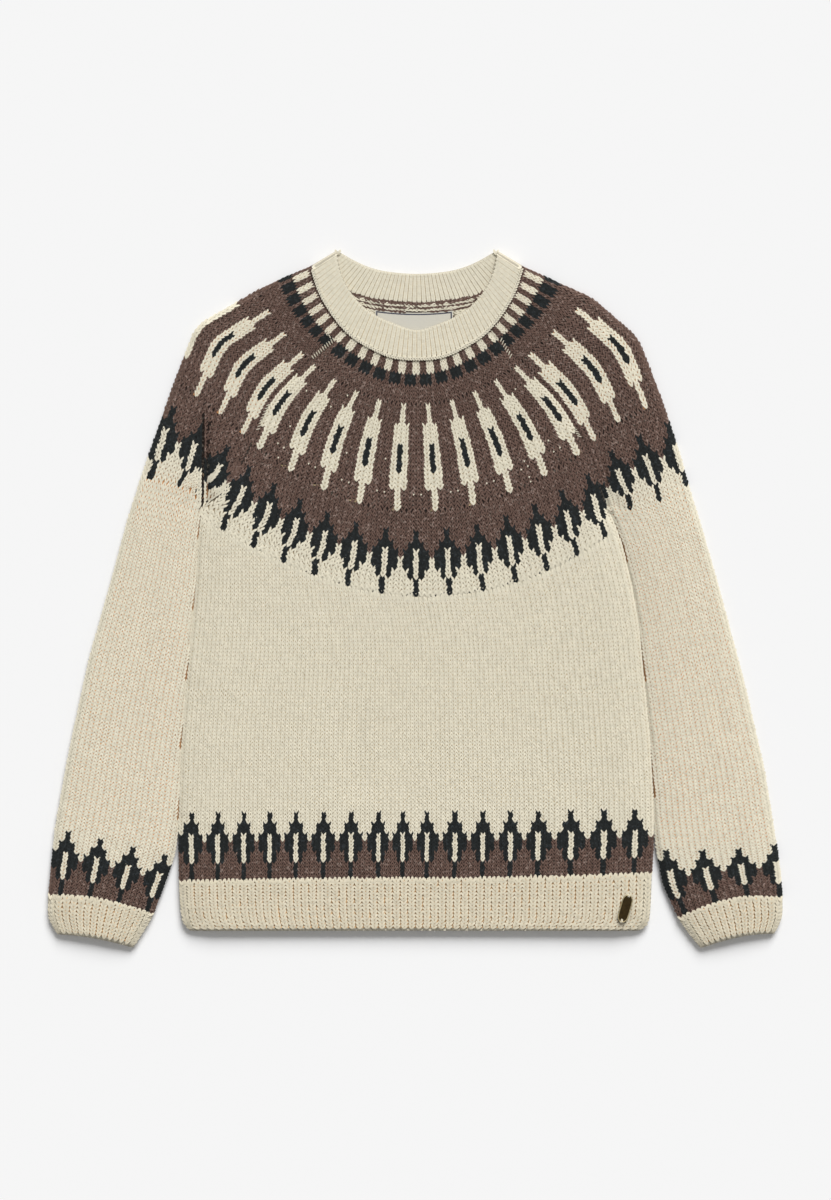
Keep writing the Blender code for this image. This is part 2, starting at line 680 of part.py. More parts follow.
def build_plate(finish):
    """A thin plate with a pointed end each way, seated on the hem rib's crests."""
    lean = math.radians(PLATE_LEAN_DEG)
    long_axis = np.array([math.sin(lean), math.cos(lean)])
    short_axis = np.array([math.cos(lean), -math.sin(lean)])
    straight = PLATE_HALF_LENGTH - PLATE_POINT
    tip = PLATE_HALF_WIDTH * PLATE_TIP_SHARE
    outline = [
        (-tip, -PLATE_HALF_LENGTH), (tip, -PLATE_HALF_LENGTH), (PLATE_HALF_WIDTH, -straight),
        (PLATE_HALF_WIDTH, straight), (tip, PLATE_HALF_LENGTH), (-tip, PLATE_HALF_LENGTH),
        (-PLATE_HALF_WIDTH, straight), (-PLATE_HALF_WIDTH, -straight),
    ]
    seat = plate_seat()
    points = []
    levels = ((seat, 1.0), (seat + PLATE_THICK * PLATE_RIM, 1.0), (seat + PLATE_THICK, PLATE_FACE))
    for z, shrink in levels:
        for across_by, along_by in outline:
            xy = np.array(PLATE_CENTRE) + short_axis * across_by * shrink + long_axis * along_by * shrink
            points.append((*xy, z))
    n = len(outline)
    faces = [tuple(range(n))[::-1], tuple(range(2 * n, 3 * n))]
    for ring in (0, n):
        faces += [(ring + k, ring + (k + 1) % n, ring + n + (k + 1) % n, ring + n + k) for k in range(n)]
    return add_object("hem_plate", points, faces, finish)


def plate_seat():
    """Just over the rib crests under the plate."""
    reach = PLATE_HALF_LENGTH * np.array([-1, 0, 1])
    spots = np.array(PLATE_CENTRE) + np.array([(dx / 2, dy) for dx in reach for dy in reach])
    plan = hem_plan(len(RIB_SHAPE))
    top, _ = upper_heights(spots, [plan[:, 0], plan[:, -1]], [])
    return float(top.max()) + RIB_HEIGHT + SEAM_GAP


for old in list(bpy.data.objects):
    bpy.data.objects.remove(old)

cream = material("cream_wool", (0.70, 0.64, 0.50), 0.9)
rib_cream = material("cream_rib", (0.71, 0.65, 0.52), 0.9)
woven = material("woven_label", (0.62, 0.58, 0.50), 0.8)
brass = material("aged_brass", (0.20, 0.15, 0.07), 0.4, 1.0)

build_back(cream)
build_front(cream)
build_sleeve("sleeve_right", RIGHT, cream)
build_sleeve("sleeve_left", LEFT, cream)
build_hem_front(rib_cream)
build_hem_back(rib_cream)
build_cuff("cuff_right", RIGHT, rib_cream)
build_cuff("cuff_left", LEFT, rib_cream)
build_neckband(rib_cream)
build_label(woven)
build_plate(brass)
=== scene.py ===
# %% [markdown]
# # A fair isle jumper, laid flat
#
# The jumper is knitted in thick wool, with a ribbed neckband, cuffs and hem,
# dark motifs round the hem and the cuffs, and a patterned yoke. It lies front
# up on a table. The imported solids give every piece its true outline, and this
# file dresses them: a thin cloth shell on each solid, and on top of it one
# real loop of yarn for every stitch that shows.

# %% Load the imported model
import math

import bmesh
import bpy
import numpy as np
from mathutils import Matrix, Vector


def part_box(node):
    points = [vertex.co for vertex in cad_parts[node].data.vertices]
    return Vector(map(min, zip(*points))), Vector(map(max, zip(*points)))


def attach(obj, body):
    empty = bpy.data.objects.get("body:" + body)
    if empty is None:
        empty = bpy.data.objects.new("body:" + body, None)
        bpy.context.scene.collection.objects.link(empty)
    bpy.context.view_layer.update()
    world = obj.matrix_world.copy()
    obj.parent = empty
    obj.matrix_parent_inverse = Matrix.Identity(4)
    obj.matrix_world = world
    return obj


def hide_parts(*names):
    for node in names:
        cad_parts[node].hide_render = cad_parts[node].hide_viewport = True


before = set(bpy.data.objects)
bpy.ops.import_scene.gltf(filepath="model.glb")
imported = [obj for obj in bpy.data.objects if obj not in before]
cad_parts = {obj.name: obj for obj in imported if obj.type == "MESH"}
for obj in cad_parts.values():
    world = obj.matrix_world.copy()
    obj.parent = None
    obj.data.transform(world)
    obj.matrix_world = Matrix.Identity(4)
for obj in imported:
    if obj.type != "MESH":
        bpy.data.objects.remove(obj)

MM = 0.001
# The tables below are in millimetres, and their origin is this far off the model's.
ORIGIN = np.array([-0.1, 0.2, 0.0])
UP = (0.0, 0.0, 1.0)
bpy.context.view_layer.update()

# %% [markdown]
# ## The outline
#
# A knitter would measure the jumper on the table: its side edges, its raglan
# seams and its neck. The same tables shape the solids, so the cloth lands on
# them. RIGHT and LEFT are the wearer's, so RIGHT is on the -X side.

# %% The outline's tables
RIGHT, LEFT = -1, +1
WORD = {RIGHT: "right", LEFT: "left"}
WALL = 3.2
GAP = 0.3
LEVEL = WALL + GAP / 2

SIDE_EDGE = np.array([
    # y, x on the wearer's right, x on the wearer's left
    (-298.2, -203.5, 202.0),
    (-289.8, -209.6, 209.8),
    (-274.0, -212.4, 212.0),
    (-255.0, -213.1, 213.0),
    (-215.0, -213.6, 214.7),
    (-176.0, -212.5, 214.2),
    (-130.0, -210.7, 211.6),
    (-84.0, -207.0, 207.4),
    (-29.0, -201.5, 201.9),
    (8.0, -198.2, 196.0),
    (49.0, -195.8, 186.5),
    (69.0, -194.3, 179.6),
    (84.5, -192.6, 172.2),
])
RAGLAN = np.array([
    # x right, y right, x left, y left
    (-192.6, 84.5, 172.2, 84.5),
    (-170.6, 100.0, 170.0, 92.5),
    (-148.1, 141.0, 153.5, 134.7),
    (-127.4, 181.5, 130.1, 175.7),
    (-95.0, 213.9, 94.0, 213.0),
    (-80.5, 225.0, 81.5, 225.0),
    (-71.5, 233.2, 73.0, 233.2),
    (-63.5, 241.8, 65.7, 241.8),
])
BACK_RAGLAN = np.array([
    (-192.6, 84.5, 172.2, 84.5),
    (-170.6, 104.0, 168.0, 96.5),
    (-146.0, 151.0, 151.0, 144.7),
    (-120.4, 196.5, 122.1, 190.7),
    (-90.0, 233.9, 90.0, 233.0),
    (-66.0, 264.0, 67.0, 264.0),
    (-56.5, 274.6, 58.9, 274.6),
])
NECK_MIDDLE_X = 1.2
NECK_SEAM_FRONT = [
    # x from the middle, y
    (0.0, 216.0), (22.9, 218.3), (43.9, 227.6), (61.0, 239.0), (75.6, 255.7), (87.9, 276.6),
    (95.8, 300.6),
]
NECK_SEAM_BACK = [
    (0.0, 266.4), (25.8, 268.0), (42.6, 270.6), (58.6, 275.3), (79.0, 287.6), (95.8, 300.6),
]
NECK_EDGE_FRONT = [
    (0.0, 242.8), (21.8, 249.3), (37.8, 256.7), (49.9, 265.6), (60.0, 277.6), (68.0, 293.4),
    (72.6, 314.4),
]
NECK_EDGE_BACK = [
    (0.0, 293.8), (16.0, 294.6), (32.0, 296.8), (45.8, 300.9), (58.0, 306.6), (66.0, 311.2),
    (72.6, 314.4),
]


# %% [markdown]
# ## Curves through measured points
#
# A Catmull-Rom curve passes through every point that it is given, which is
# what a measured outline needs. `even` spreads points along a line by length,
# because stitches in a row are all about as wide.

# %% Curve helpers
def catmull(rows, steps=20):
    """A smooth line of points through the given ones, steps to each stretch."""
    p = np.array(rows, float)
    p = np.concatenate([2 * p[:1] - p[1:2], p, 2 * p[-1:] - p[-2:-1]])
    t = np.linspace(0, 1, steps, endpoint=False)[:, None]
    parts = []
    for a, b, c, d in zip(p, p[1:], p[2:], p[3:]):
        square, cube = 2 * a - 5 * b + 4 * c - d, 3 * b - a - 3 * c + d
        parts.append(0.5 * (2 * b + (c - a) * t + square * t**2 + cube * t**3))
    return np.concatenate(parts + [p[-2:-1]])


def even(line, share, trim=(0.0, 0.0)):
    """Points of a line at the given shares of its length, less trim at its start and end."""
    along = np.concatenate([[0], np.cumsum(np.linalg.norm(np.diff(line, axis=0), axis=1))])
    at = trim[0] + np.asarray(share) * (along[-1] - trim[0] - trim[1])
    return np.stack([np.interp(at, along, line[:, k]) for k in range(line.shape[1])], axis=1)


def neck_curve(half, count):
    """A neck curve from the right shoulder to the left one, through its middle."""
    right = [(NECK_MIDDLE_X - x, y) for x, y in reversed(half)]
    left = [(NECK_MIDDLE_X + x, y) for x, y in half[1:]]
    return even(catmull(right + left), np.linspace(0, 1, count))


def seam_line(table, side):
    """One raglan seam, from the armpit to the neckband."""
    column = 0 if side == RIGHT else 2
    return catmull(table[:, column : column + 2])


def edge_x(y, side, table=RAGLAN):
    """The body's edge at the heights y: its side below the armpit and its raglan seam above."""
    seam = seam_line(table, side)
    ys = np.concatenate([SIDE_EDGE[:-1, 0], seam[:, 1]])
    xs = np.concatenate([SIDE_EDGE[:-1, 1 if side == RIGHT else 2], seam[:, 0]])
    return np.interp(y, ys, xs)


print("chest", round(float(edge_x(60.0, LEFT) - edge_x(60.0, RIGHT)), 1), "mm")

# %% [markdown]
# ## Rows of knitting
#
# A row of stitches crosses the front as a shallow arc: straight at the hem,
# and more and more curved towards the neck. So a row is given by its height at
# both edges and in the middle. The number of stitches drops where the knitter
# decreased, between one band of pattern and the next.

# %% The front's and the back's rows
# Rows: hem band, plain body, yoke border, spindles, and the squares by the neck.
HEM_BAND, PLAIN_BODY, BORDER, SPINDLES, NECK_ZONE = 19, 58, 21, 26, 13
BAND_TOP = HEM_BAND
YOKE = BAND_TOP + PLAIN_BODY
BORDER_TOP = YOKE + BORDER
SPINDLE_TOP = BORDER_TOP + SPINDLES
FRONT_ROWS = SPINDLE_TOP + NECK_ZONE

FRONT_ARCS = np.array([
    # row, y at the right edge, y in the middle, y at the left edge, roundness on the right and on the left
    (0, -254.5, -251.8, -247.0, 2.0, 2.0),
    (BAND_TOP, -192.4, -191.4, -189.0, 2.0, 2.0),
    (BAND_TOP + 34, -82.0, -81.0, -79.0, 2.0, 2.0),
    (YOKE, 77.1, 2.4, 65.4, 1.74, 2.3),
    (YOKE + 8.0, 99.6, 33.9, 88.8, 1.85, 2.15),
    (BORDER_TOP, 141.0, 78.9, 134.7, 2.0, 2.0),
    (BORDER_TOP + 12.0, 181.5, 124.8, 175.7, 2.0, 2.0),
    (SPINDLE_TOP, 213.9, 175.2, 213.0, 2.0, 2.0),
    (SPINDLE_TOP + 5.0, 225.0, 192.3, 225.0, 2.0, 2.0),
    (SPINDLE_TOP + 8.0, 233.2, 202.5, 233.2, 2.0, 2.0),
    (FRONT_ROWS, 243.6, 217.9, 243.6, 2.0, 2.0),
])
BACK_ARCS = np.array([
    (0, -254.5, -251.8, -247.0, 2.0, 2.0),
    (BAND_TOP, -198.5, -192.0, -190.2, 2.0, 2.0),
    (BAND_TOP + 34, -84.0, -76.0, -79.0, 2.0, 2.0),
    (YOKE, 77.1, 52.0, 65.4, 1.9, 1.9),
    (YOKE + 8.0, 101.0, 80.0, 92.0, 2.0, 2.0),
    (BORDER_TOP, 147.0, 126.0, 141.0, 2.0, 2.0),
    (BORDER_TOP + 12.0, 190.0, 172.0, 185.0, 2.0, 2.0),
    (SPINDLE_TOP, 233.9, 224.0, 233.0, 2.0, 2.0),
    (FRONT_ROWS, 274.4, 268.5, 274.4, 2.0, 2.0),
])
CENTRE_X = 0.5


def smoothed(rows, table, span=2.0):
    """The table's columns at the given rows, with its corners softened over span rows."""
    shifts = np.linspace(-span, span, 5)
    low, high = table[0, 0], table[-1, 0]
    columns = []
    for k in range(1, table.shape[1]):
        near = np.minimum(rows - low, high - rows)[:, None]
        reach = np.clip(near / span, 0, 1) * shifts[None, :]
        columns.append(np.interp(rows[:, None] + reach, table[:, 0], table[:, k]).mean(axis=1))
    return np.stack(columns, axis=1)


def arc(right_end, left_end, y_middle, round_right, round_left, count):
    """A dense arc across the body, from its right end to its left one, count points to each half."""
    s = np.linspace(0, 1, count)
    halves = []
    for (x, y), roundness in ((right_end, round_right), (left_end, round_left)):
        across, up = CENTRE_X + (x - CENTRE_X) * s, y_middle + (y - y_middle) * s**roundness
        halves.append(np.column_stack([across, up]))
    return np.concatenate([halves[0][::-1], halves[1][1:]])


def body_row(arcs, raglan):
    """A function that gives any row of the front or back, as a dense line."""
    def row(v):
        y_right, y_middle, y_left, round_right, round_left = smoothed(np.array([float(v)]), arcs)[0]
        right_end = (edge_x(y_right, RIGHT, raglan), y_right)
        left_end = (edge_x(y_left, LEFT, raglan), y_left)
        return arc(right_end, left_end, y_middle, round_right, round_left, 90)
    return row


front_row = body_row(FRONT_ARCS, RAGLAN)
back_row = body_row(BACK_ARCS, BACK_RAGLAN)
print("front rows:", FRONT_ROWS)

# %% [markdown]
# ## The sleeves' rows
#
# Each sleeve is a flattened tube. Its rows run from the edge beside the body
# (or the raglan seam, above the armpit) to the outer fold, and back
# underneath.

# %% The sleeves' tables
SLEEVE_PLAIN = 95
SLEEVE_YOKE = HEM_BAND + SLEEVE_PLAIN
SLEEVE_BORDER_TOP = SLEEVE_YOKE + BORDER
SLEEVE_SPINDLE_TOP = SLEEVE_BORDER_TOP + SPINDLES
SLEEVE_ROWS = SLEEVE_SPINDLE_TOP + NECK_ZONE

# Row, then x and y at the inner edge, at one third, at two thirds and at the fold.
SLEEVE_TABLE = {
    RIGHT: np.array([
        (0, -236.2, -283.8, -267.0, -274.0, -298.4, -268.3, -331.1, -266.7),
        (19, -217.2, -232.0, -253.3, -223.5, -288.4, -214.5, -325.0, -206.4),
        (42, -211.8, -154.0, -245.0, -148.5, -278.6, -143.0, -312.4, -137.3),
        (67, -206.9, -73.0, -236.0, -67.5, -265.5, -62.0, -295.0, -56.1),
        (91, -199.6, 7.0, -223.5, 13.5, -247.5, 20.0, -271.6, 26.7),
        (106, -196.5, 58.0, -217.5, 62.5, -238.8, 66.5, -260.2, 70.0),
        (114, -192.6, 84.5, -203.5, 98.0, -226.0, 105.5, -247.2, 110.4),
        (122, -170.6, 100.0, -192.2, 123.9, -216.0, 139.0, -236.2, 142.8),
        (135, -148.1, 141.0, -169.7, 160.8, -194.0, 179.0, -216.6, 198.8),
        (147, -127.4, 181.5, -150.8, 205.8, -175.1, 229.2, -197.8, 247.0),
        (161, -95.0, 213.9, -113.9, 234.6, -130.1, 256.2, -142.2, 279.3),
        (166, -80.5, 225.0, -100.4, 244.5, -114.8, 265.2, -124.9, 287.5),
        (169, -71.5, 233.2, -90.5, 250.8, -103.0, 270.6, -111.5, 293.3),
        (174, -63.5, 241.8, -76.6, 258.6, -87.4, 279.0, -94.6, 300.6),
    ]),
    LEFT: np.array([
        (0, 237.2, -287.8, 260.6, -277.0, 293.9, -268.4, 330.9, -268.9),
        (9, 223.5, -257.5, 254.5, -252.5, 291.0, -247.3, 329.0, -245.5),
        (19, 216.9, -225.3, 252.5, -226.6, 289.4, -225.3, 325.6, -221.7),
        (40, 215.4, -164.0, 247.5, -160.5, 281.0, -157.0, 314.6, -153.3),
        (65, 208.4, -81.0, 236.0, -78.0, 265.8, -75.0, 295.9, -72.3),
        (89, 198.7, 0.0, 222.6, 6.0, 247.0, 12.0, 271.6, 17.7),
        (103, 188.6, 46.5, 210.6, 50.5, 235.4, 54.5, 260.0, 58.2),
        (114, 172.2, 84.5, 194.8, 80.5, 221.8, 88.5, 245.9, 104.1),
        (122, 170.0, 92.5, 188.6, 109.5, 212.8, 120.3, 239.4, 128.4),
        (135, 153.5, 134.7, 171.5, 151.8, 196.7, 165.3, 222.8, 179.0),
        (147, 130.1, 175.7, 149.8, 197.7, 174.2, 217.5, 200.8, 236.2),
        (161, 94.0, 213.0, 114.8, 231.9, 136.3, 252.6, 158.6, 273.0),
        (166, 81.5, 225.0, 104.0, 243.6, 120.2, 263.4, 132.0, 284.2),
        (169, 73.0, 233.2, 91.4, 251.7, 104.9, 270.6, 116.5, 291.4),
        (174, 65.7, 241.8, 78.8, 258.6, 89.6, 279.0, 97.0, 300.6),
    ]),
}


def sleeve_row(side):
    """A function that gives any row of a sleeve's upper layer, as a dense line."""
    table = SLEEVE_TABLE[side]

    def row(v):
        points = smoothed(np.array([float(v)]), table)[0].reshape(4, 2)
        if HEM_BAND < v:
            points[0, 0] += (edge_x(points[0, 1], side) - points[0, 0]) * min(1.0, (v - HEM_BAND) / 10)
        return catmull(points, 12)
    return row


def under_sleeve_row(side):
    """The same for the lower layer: above the armpit it starts from the back's raglan seam."""
    upper, seam = sleeve_row(side), seam_line(BACK_RAGLAN, side)

    def row(v):
        line = upper(v)
        if v <= SLEEVE_YOKE:
            return line
        start = even(seam, [(v - SLEEVE_YOKE) / (SLEEVE_ROWS - SLEEVE_YOKE)])[0]
        return np.linspace(start, line[-1], 37)
    return row


print("sleeve rows:", SLEEVE_ROWS)

# %% [markdown]
# ## How high the cloth lies
#
# The upper layer rests on the lower one. It stands off it by up to two
# millimetres in the middle, rolls down to nothing at a fold, dips at a seam,
# and sinks in a few soft creases, the deepest running up from the armpits.

# %% Heights
FOLD_REACH, LIP = 5.5, 0.5
SEAM_DIP, SEAM_REACH = 0.7, 4.0
PUFF, PUFF_REACH = 1.9, 26.0
CREASES = [
    # x start, y start, x end, y end, depth at the start and at the end, half width
    (-192.6, 84.0, -192.0, 130.0, 1.9, 1.5, 15.0),
    (-192.0, 130.0, -195.0, 178.0, 1.5, 0.0, 15.0),
    (172.2, 84.0, 168.5, 122.0, 1.9, 1.5, 15.0),
    (168.5, 122.0, 163.5, 160.0, 1.5, 0.0, 15.0),
    (-70.0, -10.0, -52.0, -165.0, 0.2, 0.7, 24.0),
    (8.0, -25.0, 0.0, -180.0, 0.3, 0.8, 26.0),
    (88.0, 10.0, 74.0, -150.0, 0.7, 0.3, 22.0),
    (-258.0, 60.0, -284.0, -90.0, 0.6, 0.3, 12.0),
    (246.0, 50.0, 278.0, -120.0, 0.3, 0.7, 12.0),
]


def smooth(t):
    t = np.clip(t, 0, 1)
    return t * t * (3 - 2 * t)


def distance(points, line):
    """How far each plan point is from a polyline."""
    best = np.full(points.shape[:-1], np.inf)
    for a, b in zip(line, line[1:]):
        d = b - a
        t = np.clip(((points - a) @ d) / max(d @ d, 1e-9), 0, 1)
        best = np.minimum(best, np.linalg.norm(points - a - t[..., None] * d, axis=-1))
    return best


def edge_rounding(points, folds):
    """0 at a fold and 1 from FOLD_REACH in, along a quarter ellipse."""
    near = np.min([distance(points, f) for f in folds], axis=0)
    t = np.clip(1 - near / FOLD_REACH, 0, 1)
    return np.sqrt(1 - t * t)


def puff(points, folds):
    """How far the upper layer stands off the lower one."""
    near = np.min([distance(points, f) for f in folds], axis=0)
    depth = np.zeros(points.shape[:-1])
    for x0, y0, x1, y1, start, end, half in CREASES:
        a, b = np.array([x0, y0]), np.array([x1, y1])
        t = np.clip(((points - a) @ (b - a)) / ((b - a) @ (b - a)), 0, 1)
        off = np.linalg.norm(points - a - t[..., None] * (b - a), axis=-1)
        depth = np.maximum(depth, (start + (end - start) * t) * (1 - smooth(off / half)))
    return np.maximum(0, PUFF * smooth(near / PUFF_REACH) - depth)


# Where each sleeve tucks down beside the body, above the armpit.
TUCKS = [
    # x start, y start, x end, y end, depth, slope's width on the body side and on the sleeve side, side
    (-192.6, 66.0, -191.5, 182.0, 3.6, 9.0, 2.2, RIGHT),
    (172.0, 70.0, 169.5, 150.0, 2.0, 9.0, 4.0, LEFT),
]
LEAST_THICK = 1.2


def tuck_line(y):
    """Where the deepest tuck lies at the heights y."""
    x0, y0, x1, y1 = TUCKS[0][:4]
    return x0 + (x1 - x0) * (y - y0) / (y1 - y0)


def tuck_depth(points):
    """How far the tucks draw the cloth down."""
    depth = np.zeros(points.shape[:-1])
    for x0, y0, x1, y1, deep, body_side, sleeve_side, side in TUCKS:
        t = (points[..., 1] - y0) / (y1 - y0)
        off = (points[..., 0] - (x0 + (x1 - x0) * t)) * -side
        near = smooth(1 - np.where(off > 0, off / body_side, -off / sleeve_side))
        depth += deep * near * smooth(5 * t) * smooth(2.0 * (1 - t))
    return depth


def upper_top(points, folds, seams, foot, sink=0.0):
    """The top of the upper layer less sink, from the height foot at its folds."""
    dip = tuck_depth(points)
    if seams:
        dip += SEAM_DIP * smooth(1 - np.min([distance(points, s) for s in seams], axis=0) / SEAM_REACH)
    full = np.maximum(2 * WALL + GAP - foot + puff(points, folds) - dip, LEAST_THICK) - sink
    return foot + full * edge_rounding(points, folds)


SIDE_FOLDS = [even(SIDE_EDGE[3:, [0, k]][:, ::-1], np.linspace(0, 1, 40)) for k in (1, 2)]
RAGLAN_SEAMS = [even(seam_line(RAGLAN, side)[8:], np.linspace(0, 1, 30)) for side in (RIGHT, LEFT)]


def front_top(points, sink=0.0):
    return upper_top(points, SIDE_FOLDS, RAGLAN_SEAMS, WALL + GAP + LIP, sink)


SLEEVE_FOLDS = {}
for side in (RIGHT, LEFT):
    levels = np.linspace(0, SLEEVE_ROWS, 60)
    rows = [sleeve_row(side)(v) for v in levels]
    outer = np.array([r[-1] for r in rows])
    inner = np.array([r[0] for r, v in zip(rows, levels) if v <= SLEEVE_YOKE])
    SLEEVE_FOLDS[side] = [inner, outer]


def sleeve_top(side):
    """A function that gives the height of a sleeve's upper face, as front_top does for the front."""
    seams = [RAGLAN_SEAMS[0 if side == RIGHT else 1]]
    return lambda points, sink=0.0: upper_top(points, SLEEVE_FOLDS[side], seams, LEVEL, sink)


# %% [markdown]
# ## The charts
#
# Fair isle is knitted from a chart, one letter for each stitch: c for cream,
# b for brown and k for black. A repeat is six stitches wide, or four by the
# neck. The rows are written from the top down, as on a knitter's chart.

# %% Charts of the repeats
def chart(*lines):
    """Rows of a repeat, bottom row first. Each line is a pattern and how many rows it lasts."""
    return [pattern for pattern, count in reversed(lines) for _ in range(count)]


HEM_CHART = chart(
    ("ccckcc", 3), ("cckkkc", 3), ("ckkckk", 2), ("bkkckk", 3), ("bbkckb", 3), ("bbbkbb", 5),
)
BORDER_CHART = chart(
    ("bbbbbb", 5), ("bbbkbb", 3), ("bbkkkb", 2), ("bkkckk", 2), ("ckkckk", 3), ("cckckc", 2), ("ccckcc", 4),
)
SPINDLE_CHART = chart(
    ("bcbbbb", 5), ("cccbbb", 5), ("ckcbbb", 7), ("cccbbb", 4), ("bcbbbb", 5),
)
NECK_CHART = chart(
    ("bbbb", 1), ("cbbc", 4), ("bkkk", 3), ("bbbb", 5),
)
PLAIN_CHART = ["c"]
YARNS = "cbk"
CHARTS = {"hem": HEM_CHART, "border": BORDER_CHART, "spindle": SPINDLE_CHART, "neck": NECK_CHART}
for name, rows in CHARTS.items():
    print(name, len(rows), "rows")

# %% [markdown]
# ## Laying out the stitches
#
# A zone is a run of rows with the same number of stitches and one chart. For
# each of its stitches we note the middle, the direction of its column, the
# direction out of the cloth, its size and its yarn.

# %% Zones
HEM_ACROSS, BORDER_ACROSS, SPINDLE_ACROSS, NECK_ACROSS = 102, 79, 57, 48
SLEEVE_BORDER_ACROSS = 17
BODY_ZONES = [
    # first row, rows, stitches across, chart, stitch in the repeat that the row starts with
    (0, HEM_BAND, HEM_ACROSS, HEM_CHART, 1),
    (BAND_TOP, PLAIN_BODY, HEM_ACROSS, PLAIN_CHART, 0),
    (YOKE, BORDER, BORDER_ACROSS, BORDER_CHART, 5),
    (BORDER_TOP, SPINDLES, SPINDLE_ACROSS, SPINDLE_CHART, 0),
    (SPINDLE_TOP, NECK_ZONE, NECK_ACROSS, NECK_CHART, 0),
]
SLEEVE_ZONES = {
    RIGHT: [
        (0, HEM_BAND, 22, HEM_CHART, 2),
        (HEM_BAND, SLEEVE_PLAIN, 22, PLAIN_CHART, 0),
        (SLEEVE_YOKE, BORDER, SLEEVE_BORDER_ACROSS, BORDER_CHART, 0),
        (SLEEVE_BORDER_TOP, SPINDLES, 20, SPINDLE_CHART, 5),
        (SLEEVE_SPINDLE_TOP, NECK_ZONE, 26, NECK_CHART, 0),
    ],
    LEFT: [
        (0, HEM_BAND, 20, HEM_CHART, 2),
        (HEM_BAND, SLEEVE_PLAIN, 20, PLAIN_CHART, 0),
        (SLEEVE_YOKE, BORDER, SLEEVE_BORDER_ACROSS, BORDER_CHART, 5),
        (SLEEVE_BORDER_TOP, SPINDLES, 18, SPINDLE_CHART, 5),
        (SLEEVE_SPINDLE_TOP, NECK_ZONE, 26, NECK_CHART, 0),
    ],
}


def yarn_at(pattern_rows, phase, row, column):
    """0 for cream, 1 for brown and 2 for black."""
    pattern = pattern_rows[row % len(pattern_rows)]
    return YARNS.index(pattern[(column + phase) % len(pattern)])


def lift(points, top, sink=0.0):
    """Plan points raised to the top of the cloth, less sink."""
    return np.column_stack([points, top(points, sink)])


# A stitch's legs lie on a shell that is sunk by this much under the cloth's top.
SINK = 0.75
YARN_DEPTH = 1.4
STITCH_TALL = 3.4
# A column beside the deepest tuck lies this far from its middle, on the sleeve's side or on the body's.
TUCK_SLEEVE, TUCK_BODY = 2.8, 3.6
TUCK_FROM, TUCK_TO = 84.0, 166.0
TUCK_STITCH = (4.3, 3.7, YARN_DEPTH)
# Up to this height the columns between the tuck and the raglan seam turn upwards, along this direction.
BESIDE_TOP, BESIDE_ALONG, BESIDE_STITCH = 122.0, (1.9, 2.8), (5.0, 4.4, YARN_DEPTH)
# A stitch narrower than this share of its row's middle one is left out.
NARROWEST = 0.6


class Stitches:
    """Middles, column directions, outward directions, sizes and yarns of a set of stitches."""

    def __init__(self):
        self.place, self.along, self.face, self.size, self.yarn = [], [], [], [], []

    def parts(self):
        return self.place, self.along, self.face, self.size, self.yarn

    def all(self):
        return [np.concatenate(part) for part in self.parts()]

    def count(self):
        return sum(len(part) for part in self.place)

    def add(self, lower, upper, yarns, depth, flip=1):
        """One row of stitches between two lines of corner points, one more than the stitches."""
        low, high = (lower[1:] + lower[:-1]) / 2, (upper[1:] + upper[:-1]) / 2
        across = (lower[1:] + upper[1:] - lower[:-1] - upper[:-1]) / 2
        along = high - low
        face = np.cross(across, along) * flip + (0, 0, 1e-9)
        self.place.append((low + high) / 2)
        self.along.append(along)
        self.face.append(face / np.linalg.norm(face, axis=1, keepdims=True))
        wide, tall = np.linalg.norm(across, axis=1), np.linalg.norm(along, axis=1)
        self.size.append(np.column_stack([wide, tall, np.full(len(wide), depth)]))
        self.yarn.append(np.array(yarns))

    def add_loose(self, place, along, size, yarn=None):
        """Stitches that face upwards. along and size are given once for all of them, or for each."""
        count = len(place)
        self.place.append(np.array(place, float))
        self.along.append(np.broadcast_to(along, (count, 3)))
        self.face.append(np.tile(UP, (count, 1)))
        self.size.append(np.broadcast_to(size, (count, 3)))
        self.yarn.append(np.zeros(count, int) if yarn is None else yarn)

    def take(self, other, keep=slice(None)):
        """Adds another set's stitches, or those of them that keep picks."""
        for part, new in zip(self.parts(), other.all()):
            part.append(new[keep])

    def keep_last(self, keep):
        for part in self.parts():
            part[-1] = part[-1][keep]

    def thin_out(self):
        """In the last row, leaves out stitches that a seam has narrowed to nothing."""
        x, y = self.place[-1][:, 0], self.place[-1][:, 1]
        wide = self.size[-1][:, 0]
        # Between the deepest tuck and the raglan seam the columns turn upwards.
        beside = (tuck_line(y) < x) & (x < edge_x(y, RIGHT)) & (y < BESIDE_TOP)
        self.along[-1][beside, :2] = BESIDE_ALONG
        self.size[-1][beside] = BESIDE_STITCH
        self.keep_last(wide > NARROWEST * np.median(wide))

    def edge_tuck(self, top):
        """Lays the stitches on each side of the deepest tuck as one neat column."""
        merged = self.all()
        place, yarn = merged[0], merged[4]
        off = place[:, 0] - tuck_line(place[:, 1])
        inside = (TUCK_FROM - 2.0 < place[:, 1]) & (place[:, 1] < TUCK_TO)
        self.place, self.along, self.face, self.size, self.yarn = ([part] for part in merged)
        self.keep_last(~(inside & (-TUCK_SLEEVE - 2.0 < off) & (off < TUCK_BODY + 2.0)))
        y = np.arange(TUCK_FROM, TUCK_TO, STITCH_TALL)
        for at, way in ((-TUCK_SLEEVE, (0.0, 3.4, 0.0)), (TUCK_BODY, (0.9, 3.3, 0.0))):
            near = inside & (np.abs(off - at) < 3.0)
            nearest = np.abs(place[near, 1][None, :] - y[:, None]).argmin(axis=1)
            column = lift(np.column_stack([tuck_line(y) + at, y]), top, SINK)
            self.add_loose(column, way, TUCK_STITCH, yarn[near][nearest])


# Rows stop a little short of a fold, so that its loops just reach the true outline.
FOLD_TRIM = 0.15
